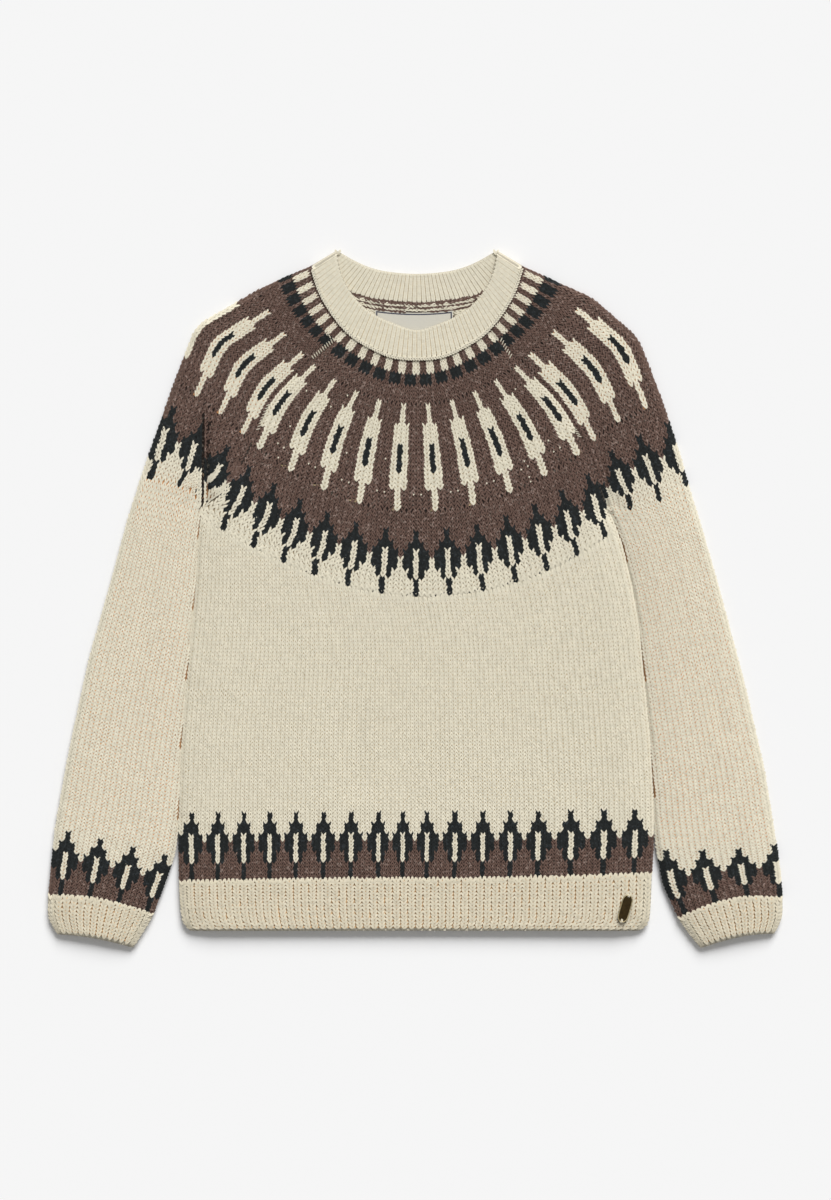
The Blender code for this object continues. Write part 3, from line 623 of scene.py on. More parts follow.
# The motif on the middle of the border stands a little to the wearer's left of the row's middle, and the
# border loses stitches at its raglan seams, as a raglan does.
RIGHT_STITCHES = {BORDER_ACROSS: 40.5}
RAGLAN_LOSS = {BORDER_ACROSS: (2.6, 0.8)}
RAGLAN_LOSS_ROWS = 16.0
# The hem and the body above it are stretched unevenly: some columns, and where they lie from edge to edge.
STRETCH = np.array([
    (0, -213.4), (2.5, -201.6), (26.5, -108.0), (44.5, -33.5), (56.5, 9.9), (68.5, 60.3), (80.5, 109.8),
    (92.5, 169.2), (98.5, 197.0), (102, 213.9),
])
# A sleeve narrows by this many stitches beside the body, from its band of motifs to the armpit.
SLEEVE_LOSS = {22: 5, 20: 3}


def trimmed(line, share, ends=(FOLD_TRIM, FOLD_TRIM)):
    """Points of a line between two folds."""
    return even(line, share, ends)


def hang(column, v):
    """How far the lowest motifs beside the right armpit lie from their row: they hang straight down."""
    rows = max(0.0, 1 - abs(v - YOKE - 2.6) / 3.4)
    return 3.4 * rows * np.clip(column / 3, 0, 1) * np.clip((22 - column) / 10, 0, 1)


def body_corners(line, across, v):
    """Corners of a row's stitches on the front, spread evenly over each half of it."""
    along = np.concatenate([[0], np.cumsum(np.linalg.norm(np.diff(line, axis=0), axis=1))])
    trim = FOLD_TRIM if v <= YOKE else 0.0
    middle, split = along[len(line) // 2], RIGHT_STITCHES.get(across, across / 2)
    lost = np.array(RAGLAN_LOSS.get(across, (0, 0))) * min(1.0, max(0.0, (v - YOKE) / RAGLAN_LOSS_ROWS))
    column = np.arange(across + 1)
    at = np.where(column <= split, middle + (column - split) / (split - lost[0]) * (middle - trim),
                  middle + (column - split) / (across - split - lost[1]) * (along[-1] - trim - middle))
    if across == STRETCH[-1, 0]:
        share = np.interp(column, STRETCH[:, 0], (STRETCH[:, 1] - STRETCH[0, 1]) / np.ptp(STRETCH[:, 1]))
        at = trim + share * (along[-1] - 2 * trim)
    if across == BORDER_ACROSS:
        at += hang(column, v)
    at = np.clip(at, trim, along[-1] - trim)
    return np.stack([np.interp(at, along, line[:, k]) for k in range(2)], axis=1)


def sleeve_lost(across, v):
    """How many stitches a sleeve has lost beside the body by row v."""
    return SLEEVE_LOSS.get(across, 0) * min(1.0, max(0.0, (v - HEM_BAND) / SLEEVE_PLAIN))


def sleeve_corners(line, across, v):
    """Corners of a row's stitches on a sleeve, from its inner edge or raglan seam to its fold."""
    lost = sleeve_lost(across, v) if v <= SLEEVE_YOKE else 0.0
    share = np.clip(1 - (across - np.arange(across + 1)) / (across - lost), 0, 1)
    if line[0, 0] < 0 and across == SLEEVE_BORDER_ACROSS:
        # The motif beside the right sleeve's tuck hangs straighter than its row.
        rows = max(0.0, 1 - (v - SLEEVE_YOKE) / 10.0)
        share -= 0.11 * rows * np.sin(math.pi * np.clip((share - 0.25) / 0.75, 0, 1))
    return even(line, share, (FOLD_TRIM if v <= SLEEVE_YOKE else 0.0, FOLD_TRIM))


def lay_zone(stitches, row, corners, top, zone, flip=1):
    """All the stitches of one zone. flip turns them face up on the sleeve whose rows run towards -X."""
    first, count, across, pattern, phase = zone
    lines = [lift(corners(row(first + k), across, first + k), top, SINK) for k in range(count + 1)]
    for k in range(count):
        yarns = [yarn_at(pattern, phase, k, c) for c in range(across)]
        if pattern is BORDER_CHART and flip == RIGHT:
            # A stem and the cream beside its heart are tucked into the fold by the armpit.
            if k < 4:
                yarns[:5] = [0] * 5
            elif 6 <= k <= 8:
                yarns[6] = 2
        stitches.add(lines[k], lines[k + 1], yarns, YARN_DEPTH, flip=flip)
        stitches.thin_out()


# %% [markdown]
# The plain body is taller at its sides than in the middle, where the yoke
# hangs lower. The knitter filled that with short rows, so here each column
# gets as many stitches as fit, and the extra ones end under the yoke.

# %% Plain body with short rows
SHORT_ROW_START = BAND_TOP + 34
ROW_HEIGHT = 3.42
# A column gets one stitch more while this share of a row is left, and it is sunk if less than the second is.
LEAST_ROW, FULL_ROW, LAST_SUNK = 0.2, 0.6, 0.8


def lay_short_rows(stitches, row, top, across):
    """Columns of stitches from SHORT_ROW_START up to the yoke, each as long as there is room for."""
    lines = [body_corners(row(v), across, 0) for v in np.linspace(SHORT_ROW_START, YOKE, 13)]
    columns = np.array(lines).swapaxes(0, 1)
    height = np.linalg.norm(np.diff(columns, axis=1), axis=2).sum(axis=1)
    middle = (height[1:] + height[:-1]) / 2
    most = int(math.ceil(height.max() / ROW_HEIGHT))
    levels = []
    for k in range(most + 1):
        share = np.minimum(1.0, k * ROW_HEIGHT / height)
        levels.append(lift(np.array([even(c, [t])[0] for c, t in zip(columns, share)]), top, SINK))
    for k in range(most):
        part = Stitches()
        part.add(levels[k], levels[k + 1], np.zeros(across, int), YARN_DEPTH)
        # A last stitch without room for itself lies under the yoke's first row.
        part.place[0][:, 2] -= np.where((k + FULL_ROW) * ROW_HEIGHT < middle, 0.0, LAST_SUNK)
        part.size[0][:, 1] = ROW_HEIGHT
        stitches.take(part, (k + LEAST_ROW) * ROW_HEIGHT < middle)


body_stitches = Stitches()
for zone in BODY_ZONES:
    if zone[3] is PLAIN_CHART:
        long_rows = (BAND_TOP, SHORT_ROW_START - BAND_TOP, *zone[2:])
        lay_zone(body_stitches, front_row, body_corners, front_top, long_rows)
        lay_short_rows(body_stitches, front_row, front_top, zone[2])
    else:
        lay_zone(body_stitches, front_row, body_corners, front_top, zone)
sleeve_stitches = {}
for side in (RIGHT, LEFT):
    sleeve_stitches[side] = Stitches()
    for zone in SLEEVE_ZONES[side]:
        lay_zone(sleeve_stitches[side], sleeve_row(side), sleeve_corners, sleeve_top(side), zone, flip=side)
sleeve_stitches[RIGHT].edge_tuck(sleeve_top(RIGHT))
print("stitches on the front:", body_stitches.count())
print("stitches on the sleeves:", [sleeve_stitches[side].count() for side in (RIGHT, LEFT)])

# %% [markdown]
# ## Thin shells of cloth
#
# Under the stitches lies a closed shell, a little thinner than the real knit.
# It shows between the loops, at the folds and on the underside. Each of its
# outer faces is one stitch, so it can carry the chart as a colour: red for
# brown yarn, green for black, blue for a small difference of tone or, under
# loops, how dark their painted gap shade is, and alpha for where loops cover.

# %% Shell builder
def link(name, mesh):
    """A new object for a mesh, in the scene."""
    thing = bpy.data.objects.new(name, mesh)
    bpy.context.scene.collection.objects.link(thing)
    return thing


def finished(name, bm):
    """The built shape as an object, with its faces turned outwards."""
    bmesh.ops.recalc_face_normals(bm, faces=bm.faces[:])
    mesh = bpy.data.meshes.new(name)
    bm.to_mesh(mesh)
    bm.free()
    return link(name, mesh)


def strip(a, b):
    """Faces between two rows of point numbers, whatever their counts."""
    n, m = len(a) - 1, len(b) - 1
    if n == m:
        return [(a[k], a[k + 1], b[k + 1], b[k]) for k in range(n)]
    faces, i, j = [], 0, 0
    while i < n or j < m:
        if j >= m or (i < n and (i + 1) * m <= (j + 1) * n):
            faces.append((a[i], a[i + 1], b[j]))
            i += 1
        else:
            faces.append((a[i], b[j + 1], b[j]))
            j += 1
    return faces


def make_shell(name, outer, inner, paint, open_row=0, inner_paint=None):
    """A closed wall between rows of outer points and rows of inner points.

    Before open_row the rows are rings. paint(row, share) gives a face's colour code and the stitches
    across, from its row and its share of the way across.
    """
    bm = bmesh.new()
    uv = bm.loops.layers.uv.new("knit")
    code = bm.loops.layers.float_color.new("yarn")
    numbers, shares = [], {}
    for rows in (outer, inner):
        layer = []
        for v, row in enumerate(rows):
            made = [bm.verts.new((np.asarray(p) - ORIGIN) * MM) for p in row]
            for k, vert in enumerate(made):
                shares[vert] = (k / (len(made) - 1), v)
            layer.append(made)
        numbers.append(layer)
    o, n = numbers

    def add(face, value):
        try:
            made = bm.faces.new(face)
        except ValueError:
            return
        made.smooth = True
        colour, across = value
        for loop in made.loops:
            share, v = shares[loop.vert]
            loop[uv].uv = (share * across, v)
            loop[code] = colour

    for rows, look in ((o, paint), (n, inner_paint or paint)):
        for v in range(len(rows) - 1):
            for face in strip(rows[v], rows[v + 1]):
                share = sum(shares[p][0] for p in face) / len(face)
                add(face if rows is o else face[::-1], look(v, share))
    for face in strip(n[0], o[0]):
        add(face, paint(0, shares[face[0]][0]))
    for face in strip(o[-1], n[-1]):
        add(face, paint(len(o) - 2, shares[face[0]][0]))
    for v in range(max(0, open_row - 1), len(o) - 1):
        add((o[v][0], o[v + 1][0], n[v + 1][0], n[v][0]), paint(v, 0.0))
        add((n[v][-1], n[v + 1][-1], o[v + 1][-1], o[v][-1]), paint(v, 1.0))
    bmesh.ops.remove_doubles(bm, verts=bm.verts[:], dist=0.02 * MM)
    return finished(name, bm)


SHELL_WALL = 1.7
# Red and green for cream, brown and black.
CODES = [(0.0, 0.0), (1.0, 0.0), (0.0, 1.0)]
tone = np.random.default_rng(11)


def zone_of(zones, v):
    """The zone that row v belongs to."""
    for zone in zones:
        if v < zone[0] + zone[1]:
            return zone
    return zones[-1]


def gap_darkening(pattern, k):
    """How far the gaps between cream loops are darkened towards the float colour, k rows up a chart: by the
    floats behind them in the patterned bands, and over the first plain rows above the hem band.
    """
    if pattern is PLAIN_CHART:
        return max(0.0, 0.45 - 0.2 * k)
    return min(1.0, 0.35 + k / 8.0) if pattern is BORDER_CHART else 0.45


# Beside an outer fold, these shares of a stitch before it and after it are outside the loops, and their cream
# gets painted shade.
FOLD_BEFORE, FOLD_AFTER = 0.6, 1.5
FOLD_PAINTED_SHADE = 0.14


def painter(zones, covered, ring=False):
    """The colour code of a face in a row, read from its zone's chart."""
    def paint(v, share):
        first, _, across, pattern, phase = zone_of(zones, v)
        at = share * (2 * across if ring else across)
        column = int(min(at, 2 * across - at - 1e-6) if ring else at)
        red, green = CODES[yarn_at(pattern, phase, v - first, min(column, across - 1))]
        join_row = not ring and v in (YOKE - 1, YOKE) and not red and not green
        loops = 1.0 if covered and not (ring and at > across - FOLD_BEFORE) and not join_row else 0.0
        # Beside the body a sleeve's inner edge gets painted shade: its cream gaps are darkened half way to
        # the float colour.
        shaded_inner_edge = ring and v < SLEEVE_YOKE and at < sleeve_lost(across, v) + 1.2
        dark = 0.5 if shaded_inner_edge else gap_darkening(pattern, v - first)
        if ring and across - FOLD_BEFORE < at < across + FOLD_AFTER and not green:
            # The outer fold faces the sky and the lamp, so its cream is darkened a little towards brown, as
            # painted shade.
            red = max(red, FOLD_PAINTED_SHADE)
        return (red, green, dark if loops else tone.random(), loops), (2 * across if ring else across)
    return paint


# %% [markdown]
# ### Front and back
#
# The front's shell follows the rounded top of the upper layer. The back lies
# flat on the table and rounds up only at its folds.

# %% Front and back shells
def columns_at(zones, v):
    """Stitches across at the foot of row v."""
    return zone_of(zones, max(0, v - 1))[2]


def front_shell():
    outer, inner = [], []
    for v in range(FRONT_ROWS + 1):
        line = front_row(v)
        top = lift(body_corners(line, columns_at(BODY_ZONES, v), v), front_top, SINK)
        ends = (FOLD_TRIM if v <= YOKE else 0.0,) * 2
        under = lift(trimmed(line, np.linspace(0, 1, 13), ends), front_top, SINK)
        under[:, 2] = np.maximum(under[:, 2] - SHELL_WALL, WALL + GAP)
        outer.append(top)
        inner.append(under)
    return make_shell("front_cloth", outer, inner, painter(BODY_ZONES, True))


def back_bottom(points):
    """The back's face on the table, which rounds up at the side folds."""
    return (WALL - LIP) * (1 - edge_rounding(points, SIDE_FOLDS))


BACK_RISE, BACK_RISE_REACH = 1.0, 14.0


def back_top(from_neck):
    """The back's upper face, which rises to the neckband."""
    return WALL + BACK_RISE * float(smooth(1 - from_neck / BACK_RISE_REACH))


def back_shell():
    outer, inner = [], []
    for v in range(FRONT_ROWS + 1):
        line = back_row(v)
        low = trimmed(line, np.linspace(0, 1, columns_at(BODY_ZONES, v) + 1), (GAP, GAP))
        high = trimmed(line, np.linspace(0, 1, 49), (GAP, GAP))
        outer.append(np.column_stack([low, back_bottom(low)]))
        inner.append(np.column_stack([high, np.full(len(high), back_top((FRONT_ROWS - v) * STITCH_TALL))]))
    return make_shell("back_cloth", outer, inner, painter(BODY_ZONES, False), inner_paint=inside_paint)


def inside_paint(v, share):
    """The inside of the back: by the neck the floats show as broken stripes of brown."""
    from_neck = FRONT_ROWS - 1 - v
    brown = 1.0 if from_neck in (0, 2, 4) and tone.random() < 0.86 else 0.0
    return (brown, 0.0, tone.random(), 0.0), NECK_ACROSS


front_cloth = front_shell()
back_cloth = back_shell()
print("front shell faces", len(front_cloth.data.polygons), "back", len(back_cloth.data.polygons))

# %% [markdown]
# ### Sleeves
#
# A sleeve's shell is a ring in every row: over the top from the inner edge to
# the fold, and back underneath. Above the armpit the ring is open, because
# the front and the back are joined on there.

# %% Sleeve shells
def ring(over, under, closed=True):
    """Points over a tube and back underneath, which meet at the fold and, if closed, at the inner edge."""
    under[-1] = over[-1]
    if closed:
        under[0] = over[0]
    return np.vstack([over, under[-2::-1]])


def lining(upper, lower, top, sink, count, closed=True):
    """The same for a tube's inner wall, with count points each way."""
    share, ends = np.linspace(0, 1, count), (FOLD_TRIM + SHELL_WALL,) * 2
    over = lift(trimmed(upper, share, ends), top, sink + SHELL_WALL)
    over[:, 2] = np.maximum(over[:, 2], LEVEL + 0.1)
    low = trimmed(lower, share, ends)
    return ring(over, np.column_stack([low, np.full(count, LEVEL - 0.6)]), closed)


def sleeve_shell(side):
    zones, upper, lower, top = SLEEVE_ZONES[side], sleeve_row(side), under_sleeve_row(side), sleeve_top(side)
    folds = SLEEVE_FOLDS[side]
    outer, inner = [], []
    for v in range(SLEEVE_ROWS + 1):
        n, closed = columns_at(zones, v), v <= SLEEVE_YOKE
        low = sleeve_corners(lower(v), n, v)
        under = np.column_stack([low, LEVEL * (1 - edge_rounding(low, folds))])
        outer.append(ring(lift(sleeve_corners(upper(v), n, v), top, SINK), under, closed))
        inner.append(lining(upper(v), lower(v), top, SINK, 9, closed))
    look = painter(zones, True, ring=True)
    return make_shell(f"sleeve_{WORD[side]}_cloth", outer, inner, look, open_row=SLEEVE_YOKE + 1)


def paint_tuck_shadow(thing, x0, y0, x1, y1, half):
    """Paints the upward faces along a tuck with the brown gap colour, as painted shade in its crevice."""
    code = thing.data.color_attributes["yarn"].data
    for face in thing.data.polygons:
        x, y = np.array(face.center)[:2] / MM + ORIGIN[:2]
        t = (y - y0) / (y1 - y0)
        if 0 < t < 1 and abs(x - x0 - (x1 - x0) * t) < half and face.normal.z > 0:
            for loop in face.loop_indices:
                code[loop].color = (1.0, 0.0, 0.0, 1.0)


sleeve_cloth = {side: sleeve_shell(side) for side in (RIGHT, LEFT)}
paint_tuck_shadow(sleeve_cloth[RIGHT], -192.6, 80.0, -191.6, 168.0, 3.4)
for side, thing in sleeve_cloth.items():
    print(thing.name, len(thing.data.polygons), "faces")

# %% [markdown]
# ## The ribs
#
# Rib is knit and purl in turn. The knit columns stand up as ridges and the
# purl ones sink between them. The hem and the cuffs are knitted in thick ribs,
# and the neckband is finer and double.

# %% Rib shells
HEM_EDGE = [
    # x right, x left, y right, y middle, y left, from the free edge up
    (-203.5, 202.0, -298.2, -298.0, -298.2),
    (-209.6, 209.8, -289.8, -290.0, -290.2),
    (-212.4, 212.0, -274.0, -274.5, -275.0),
    (-213.1, 213.0, -255.0, -252.3, -247.5),
]
CUFF_EDGE = {
    # x and y at the inner edge, at one third, at two thirds and at the fold, from the free edge up
    RIGHT: [
        (-254.2, -313.6, -277.7, -307.4, -300.2, -303.3, -323.2, -301.4),
        (-241.9, -294.2, -270.4, -288.4, -300.2, -284.9, -330.9, -285.0),
        (-236.4, -284.3, -267.1, -274.5, -298.4, -268.8, -331.1, -267.2),
    ],
    LEFT: [
        (256.9, -314.0, 278.6, -307.0, 301.1, -302.2, 323.6, -300.9),
        (244.6, -298.9, 270.4, -289.2, 299.2, -284.6, 330.2, -286.0),
        (237.5, -288.3, 260.6, -277.5, 293.9, -268.9, 330.9, -269.4),
    ],
}
HEM_RIBS, HEM_RIB_ROWS = 62, 14
CUFF_RIBS, CUFF_RIB_ROWS = 14, 10
RIB_RISE = 0.7
RIB_WAVE = np.array([0.0, 0.62, 1.0, 1.0, 1.0, 0.62])


def hem_row(t):
    """A line across the hem rib, at a share t of the way up it."""
    x_right, x_left, y_right, y_middle, y_left = even(catmull(HEM_EDGE), [t])[0]
    return arc((x_right, y_right), (x_left, y_left), y_middle, 2, 2, 60)


def cuff_row(side):
    """The same for a cuff."""
    return lambda t: catmull(even(catmull(CUFF_EDGE[side]), [t])[0].reshape(4, 2), 12)


def rib_folds(row):
    """The two edges of a rib, as lines."""
    return [np.array([row(t)[k] for t in np.linspace(0, 1, 12)]) for k in (0, -1)]


HEM_FOLDS = rib_folds(hem_row)
CUFF_FOLDS = {side: rib_folds(cuff_row(side)) for side in (RIGHT, LEFT)}


def rib_wave(count, ribs):
    """How far each of count points across stands up, for so many ribs."""
    at = np.linspace(0, ribs * len(RIB_WAVE), count)
    return np.interp(at % len(RIB_WAVE), np.arange(len(RIB_WAVE) + 1), np.append(RIB_WAVE, RIB_WAVE[0]))


EDGE_DROP = 1.3


def free_edge_drop(t, reach=0.1):
    """The free edge turns down over the last rows."""
    k = min(1.0, t / reach)
    return EDGE_DROP * (1 - math.sqrt(1 - (1 - k) ** 2))


def rib_painter(ribs, ring=False):
    """Grooves between ribs get the painted warm shade between loops, but not at the folds."""
    def paint(v, share):
        at = share * (2 * ribs if ring else ribs)
        return (0.0, 0.0, 0.0, 1.0 if v and 1.2 < at < ribs - 1.2 else 0.0), ribs
    return paint


def plain_paint(v, share):
    """Plain cream with an uneven tone, for the faces that no loops cover."""
    return (0.0, 0.0, tone.random(), 0.0), HEM_RIBS


def hem_top(t):
    """The height of the hem rib's upper face, at a share t of the way up it."""
    def top(points, sink=0.0):
        return upper_top(points, HEM_FOLDS, [], WALL + GAP + LIP, sink) - free_edge_drop(t)
    return top


def cuff_top(side, t):
    """The same for a cuff."""
    def top(points, sink=0.0):
        return upper_top(points, CUFF_FOLDS[side], [], LEVEL, sink) - free_edge_drop(t, 0.14)
    return top


RIB_SINK = 1.1


def hem_front_shell():
    outer, inner = [], []
    columns = HEM_RIBS * len(RIB_WAVE) + 1
    for v in range(HEM_RIB_ROWS + 1):
        t = v / HEM_RIB_ROWS
        row = hem_row(t)
        over = lift(trimmed(row, np.linspace(0, 1, columns)), hem_top(t), RIB_SINK)
        over[:, 2] += RIB_RISE * rib_wave(columns, HEM_RIBS) * edge_rounding(over[:, :2], HEM_FOLDS)
        under = lift(trimmed(row, np.linspace(0, 1, 25)), hem_top(t), RIB_SINK)
        under[:, 2] = np.maximum(under[:, 2] - SHELL_WALL, WALL + GAP)
        outer.append(over)
        inner.append(under)
    return make_shell("hem_rib_front_cloth", outer, inner, rib_painter(HEM_RIBS), inner_paint=plain_paint)


def hem_back_shell():
    outer, inner = [], []
    for v in range(HEM_RIB_ROWS + 1):
        row = hem_row(v / HEM_RIB_ROWS)
        low = trimmed(row, np.linspace(0, 1, HEM_RIBS * 2 + 1))
        high = trimmed(row, np.linspace(0, 1, 25))
        ribs = 0.5 * (np.arange(len(low)) % 2 == 0)
        foot = np.maximum((WALL - LIP) * (1 - edge_rounding(low, HEM_FOLDS)), ribs)
        outer.append(np.column_stack([low, foot]))
        inner.append(np.column_stack([high, np.full(len(high), WALL)]))
    return make_shell("hem_rib_back_cloth", outer, inner, plain_paint)


def cuff_shell(side):
    row, folds = cuff_row(side), CUFF_FOLDS[side]
    outer, inner = [], []
    columns = CUFF_RIBS * len(RIB_WAVE) + 1
    for v in range(CUFF_RIB_ROWS + 1):
        t = v / CUFF_RIB_ROWS
        line, top = row(t), cuff_top(side, t)
        low = trimmed(line, np.linspace(0, 1, columns))
        over = lift(low, top, RIB_SINK)
        over[:, 2] += RIB_RISE * rib_wave(columns, CUFF_RIBS) * edge_rounding(low, folds)
        ribs = 0.6 * (1 - rib_wave(columns, CUFF_RIBS))
        foot = np.maximum(LEVEL * (1 - edge_rounding(low, folds)), ribs)
        outer.append(ring(over, np.column_stack([low, foot])))
        inner.append(lining(line, line, top, RIB_SINK, 13))
    return make_shell(f"cuff_{WORD[side]}_cloth", outer, inner, rib_painter(CUFF_RIBS, ring=True),
                      open_row=CUFF_RIB_ROWS + 2, inner_paint=plain_paint)


hem_front_cloth, hem_back_cloth = hem_front_shell(), hem_back_shell()
cuff_cloth = {side: cuff_shell(side) for side in (RIGHT, LEFT)}
print("hem shell", len(hem_front_cloth.data.polygons), "cuff shell", len(cuff_cloth[LEFT].data.polygons))

# %% [markdown]
# ### The loops of the ribs
#
# Each ridge of a rib is one column of knit stitches, so it gets one loop in
# every row. Where the rib meets the brown, its last row shows as small teeth.

# %% Rib stitches
# How much of a rib's width its stitch takes, how far up the first row starts, and how deep a loop is.
RIB_SHARE, RIB_START, RIB_DEPTH = 0.88, 0.05, 1.3


def add_ridges(stitches, pairs, depth, flip=1):
    """One stitch on each ridge, from its left and right corners below and then above it."""
    corners = [np.stack(pair, axis=1).reshape(-1, 3) for pair in pairs]
    part = Stitches()
    part.add(*corners, np.zeros(len(corners[0]) - 1, int), depth, flip=flip)
    # Every second stitch would lie in a groove.
    stitches.take(part, slice(None, None, 2))


def lay_ribs(stitches, row, top_at, rows, ribs, folds, flip=1):
    """One stitch in each rib and row, standing on the ridge."""
    middles = (np.arange(ribs) + 0.5) / ribs
    half = RIB_SHARE / ribs / 2
    for k in range(rows):
        pairs = []
        for t in (RIB_START + (1 - RIB_START) * k / rows, RIB_START + (1 - RIB_START) * (k + 1) / rows):
            line = row(t)
            pair = [lift(trimmed(line, middles + way * half), top_at(t), RIB_SINK - 0.1) for way in (-1, 1)]
            for points in pair:
                points[:, 2] += RIB_RISE * edge_rounding(points[:, :2], folds)
            pairs.append(pair)
        add_ridges(stitches, pairs, RIB_DEPTH, flip)


def lay_teeth(stitches, row, above, corners, top, count, flip=1):
    """A row of cream stitches over the join of rib and pattern."""
    low = lift(corners(row(0.94), count, 0), top, SINK - 0.35)
    high = lift(corners(above, count, 0), top, SINK - 0.15)
    stitches.add(low, high, np.zeros(count, int), YARN_DEPTH, flip=flip)


hem_stitches = Stitches()
lay_ribs(hem_stitches, hem_row, hem_top, HEM_RIB_ROWS, HEM_RIBS, HEM_FOLDS)
lay_teeth(hem_stitches, hem_row, front_row(0.35), body_corners, front_top, HEM_ACROSS)
cuff_stitches = {}
for side in (RIGHT, LEFT):
    cuff_stitches[side] = Stitches()
    lay_ribs(cuff_stitches[side], cuff_row(side), lambda t, side=side: cuff_top(side, t), CUFF_RIB_ROWS,
             CUFF_RIBS, CUFF_FOLDS[side], flip=side)
    lay_teeth(cuff_stitches[side], cuff_row(side), sleeve_row(side)(0.35), sleeve_corners,
              sleeve_top(side), SLEEVE_ZONES[side][0][2], flip=side)
print("rib stitches", hem_stitches.count(), cuff_stitches[LEFT].count())

# %% [markdown]
# ### The neckband
#
# The neckband is one ring, knitted double and folded over at its free edge.
# Its front half lies over its back half. In the opening the back half shows
# its inner face, and both are finely ribbed.

# %% Neckband
NECK_WALL = 4.4
NECK_TUCK = -1.6
NECK_RIBS = {"front": 60, "back": 46}
NECK_ROWS = 11
NECK_RISE = 0.25
NECK_INSIDE_TRIM = 3.0
NECK_LEVEL = NECK_WALL + GAP / 2
# Share of the way up and how far in from the face: the free edge is rounded like the fold it is.
NECK_PROFILE = [
    (0.0, 1.5), (0.03, 0.9), (0.07, 0.4), (0.12, 0.1),
    *[(0.12 + k / 8 * 0.81, 0.0) for k in range(1, 9)],
    (0.96, 0.35), (0.985, 0.95), (1.0, 2.0),
]


def neck_line(half, t):
    """A line along the front or back half of the band, at a share t from its seam to its free edge."""
    seam, edge = (NECK_SEAM_FRONT, NECK_EDGE_FRONT) if half == "front" else (NECK_SEAM_BACK, NECK_EDGE_BACK)
    a, b = neck_curve(seam, 161), neck_curve(edge, 161)
    tuck = (b - a) / np.linalg.norm(b - a, axis=1, keepdims=True) * NECK_TUCK
    return (a - tuck) * (1 - t) + b * t


def neck_fold(count, line, trim=0.0):
    """0 at the shoulder folds and 1 inside them."""
    total = np.linalg.norm(np.diff(line, axis=0), axis=1).sum() - 2 * trim
    at = np.linspace(0, total, count)
    near = np.clip(1 - np.minimum(at, total - at) / FOLD_REACH, 0, 1)
    return np.sqrt(1 - near**2)


def neck_wave(half, count):
    """The ribs of the band, from 0 in a groove to 1 on a ridge."""
    return 0.5 - 0.5 * np.cos(np.linspace(0, 2 * math.pi * NECK_RIBS[half], count))


def neck_shell():
    outer, inner = [], []
    for t, depth in NECK_PROFILE:
        ring = []
        for half, way in (("front", 1), ("back", -1)):
            line = neck_line(half, t)
            count = NECK_RIBS[half] * 4 + 1
            ribs = NECK_RISE * (neck_wave(half, count) - 0.4)
            z = (GAP / 2 + NECK_WALL - depth - 0.35 + ribs) * neck_fold(count, line)
            ring.append(np.column_stack([even(line, np.linspace(0, 1, count)), NECK_LEVEL + way * z]))
        outer.append(np.vstack([ring[0], ring[1][-2::-1]]))
        ring = []
        for half, way in (("front", 1), ("back", -1)):
            line = neck_line(half, t)
            count = NECK_RIBS[half] * 2 + 1
            inside = GAP / 2 + min(depth, 1.6) * 0.9
            if half == "back":
                inside = inside + 0.28 - 0.5 * NECK_RISE * neck_wave(half, count)
            place = even(line, np.linspace(0, 1, count), (NECK_INSIDE_TRIM, NECK_INSIDE_TRIM))
            z = inside * neck_fold(count, line, NECK_INSIDE_TRIM)
            ring.append(np.column_stack([place, NECK_LEVEL + way * z]))
        inner.append(np.vstack([ring[0], ring[1][-2::-1]]))
    return make_shell("neckband_cloth", outer, inner, neck_paint, open_row=len(NECK_PROFILE) + 2)


def neck_paint(v, share):
    """The free edge and the shoulder folds show the yarn itself, not the gaps between loops."""
    shoulder = min(share, 1 - share, abs(share - NECK_RIBS["front"] / sum(NECK_RIBS.values()))) < 0.012
    edge = v >= len(NECK_PROFILE) - 4
    # A little of the darker yarn is mixed in as painted shade, because they face the lamp.
    return (0.22 if shoulder else 0.14 if edge else 0.0, 0.0, 0.0, 0.0 if shoulder or edge else 1.0), 300


neckband_cloth = neck_shell()
print("neckband shell", len(neckband_cloth.data.polygons))


# %% Neckband stitches
def neck_height(half, sink):
    """The height of the band's seen face: the front's outer one, or the back's inner one."""
    def top(points, extra=0.0):
        if half == "front":
            near = np.min([distance(points, f) for f in NECK_FOLDS], axis=0)
            fold = np.sqrt(1 - np.clip(1 - near / FOLD_REACH, 0, 1) ** 2)
            return NECK_LEVEL + (GAP / 2 + NECK_WALL - sink - extra) * fold
        return np.full(len(points), NECK_LEVEL + 0.3 - sink - extra)
    return top


NECK_FOLDS = [np.array([neck_line("front", 0)[k], neck_line("front", 1)[k]]) for k in (0, -1)]
# The loops stop at this share of the way up, where the band folds over, and a little short of its ends.
NECK_LOOPS_TOP = 0.93
NECK_TRIM = {"front": 0.9, "back": NECK_INSIDE_TRIM}
neck_stitches = Stitches()
for half, trim in NECK_TRIM.items():
    ribs = NECK_RIBS[half]
    middles = (np.arange(ribs) + 0.5) / ribs
    for k in range(NECK_ROWS):
        pairs = []
        for t in (NECK_LOOPS_TOP * k / NECK_ROWS, NECK_LOOPS_TOP * (k + 1) / NECK_ROWS):
            sides = [even(neck_line(half, t), middles + way * 0.49 / ribs, (trim, trim)) for way in (-1, 1)]
            pairs.append([lift(points, neck_height(half, 0.4)) for points in sides])
        add_ridges(neck_stitches, pairs, 1.0)
print("neckband stitches", neck_stitches.count())

# %% [markdown]
# ### The linked neck seam
#
# The band is linked on with a chain of loops, which shows as a line of small
# scallops round the front of the neck. One brown row lies just outside it.

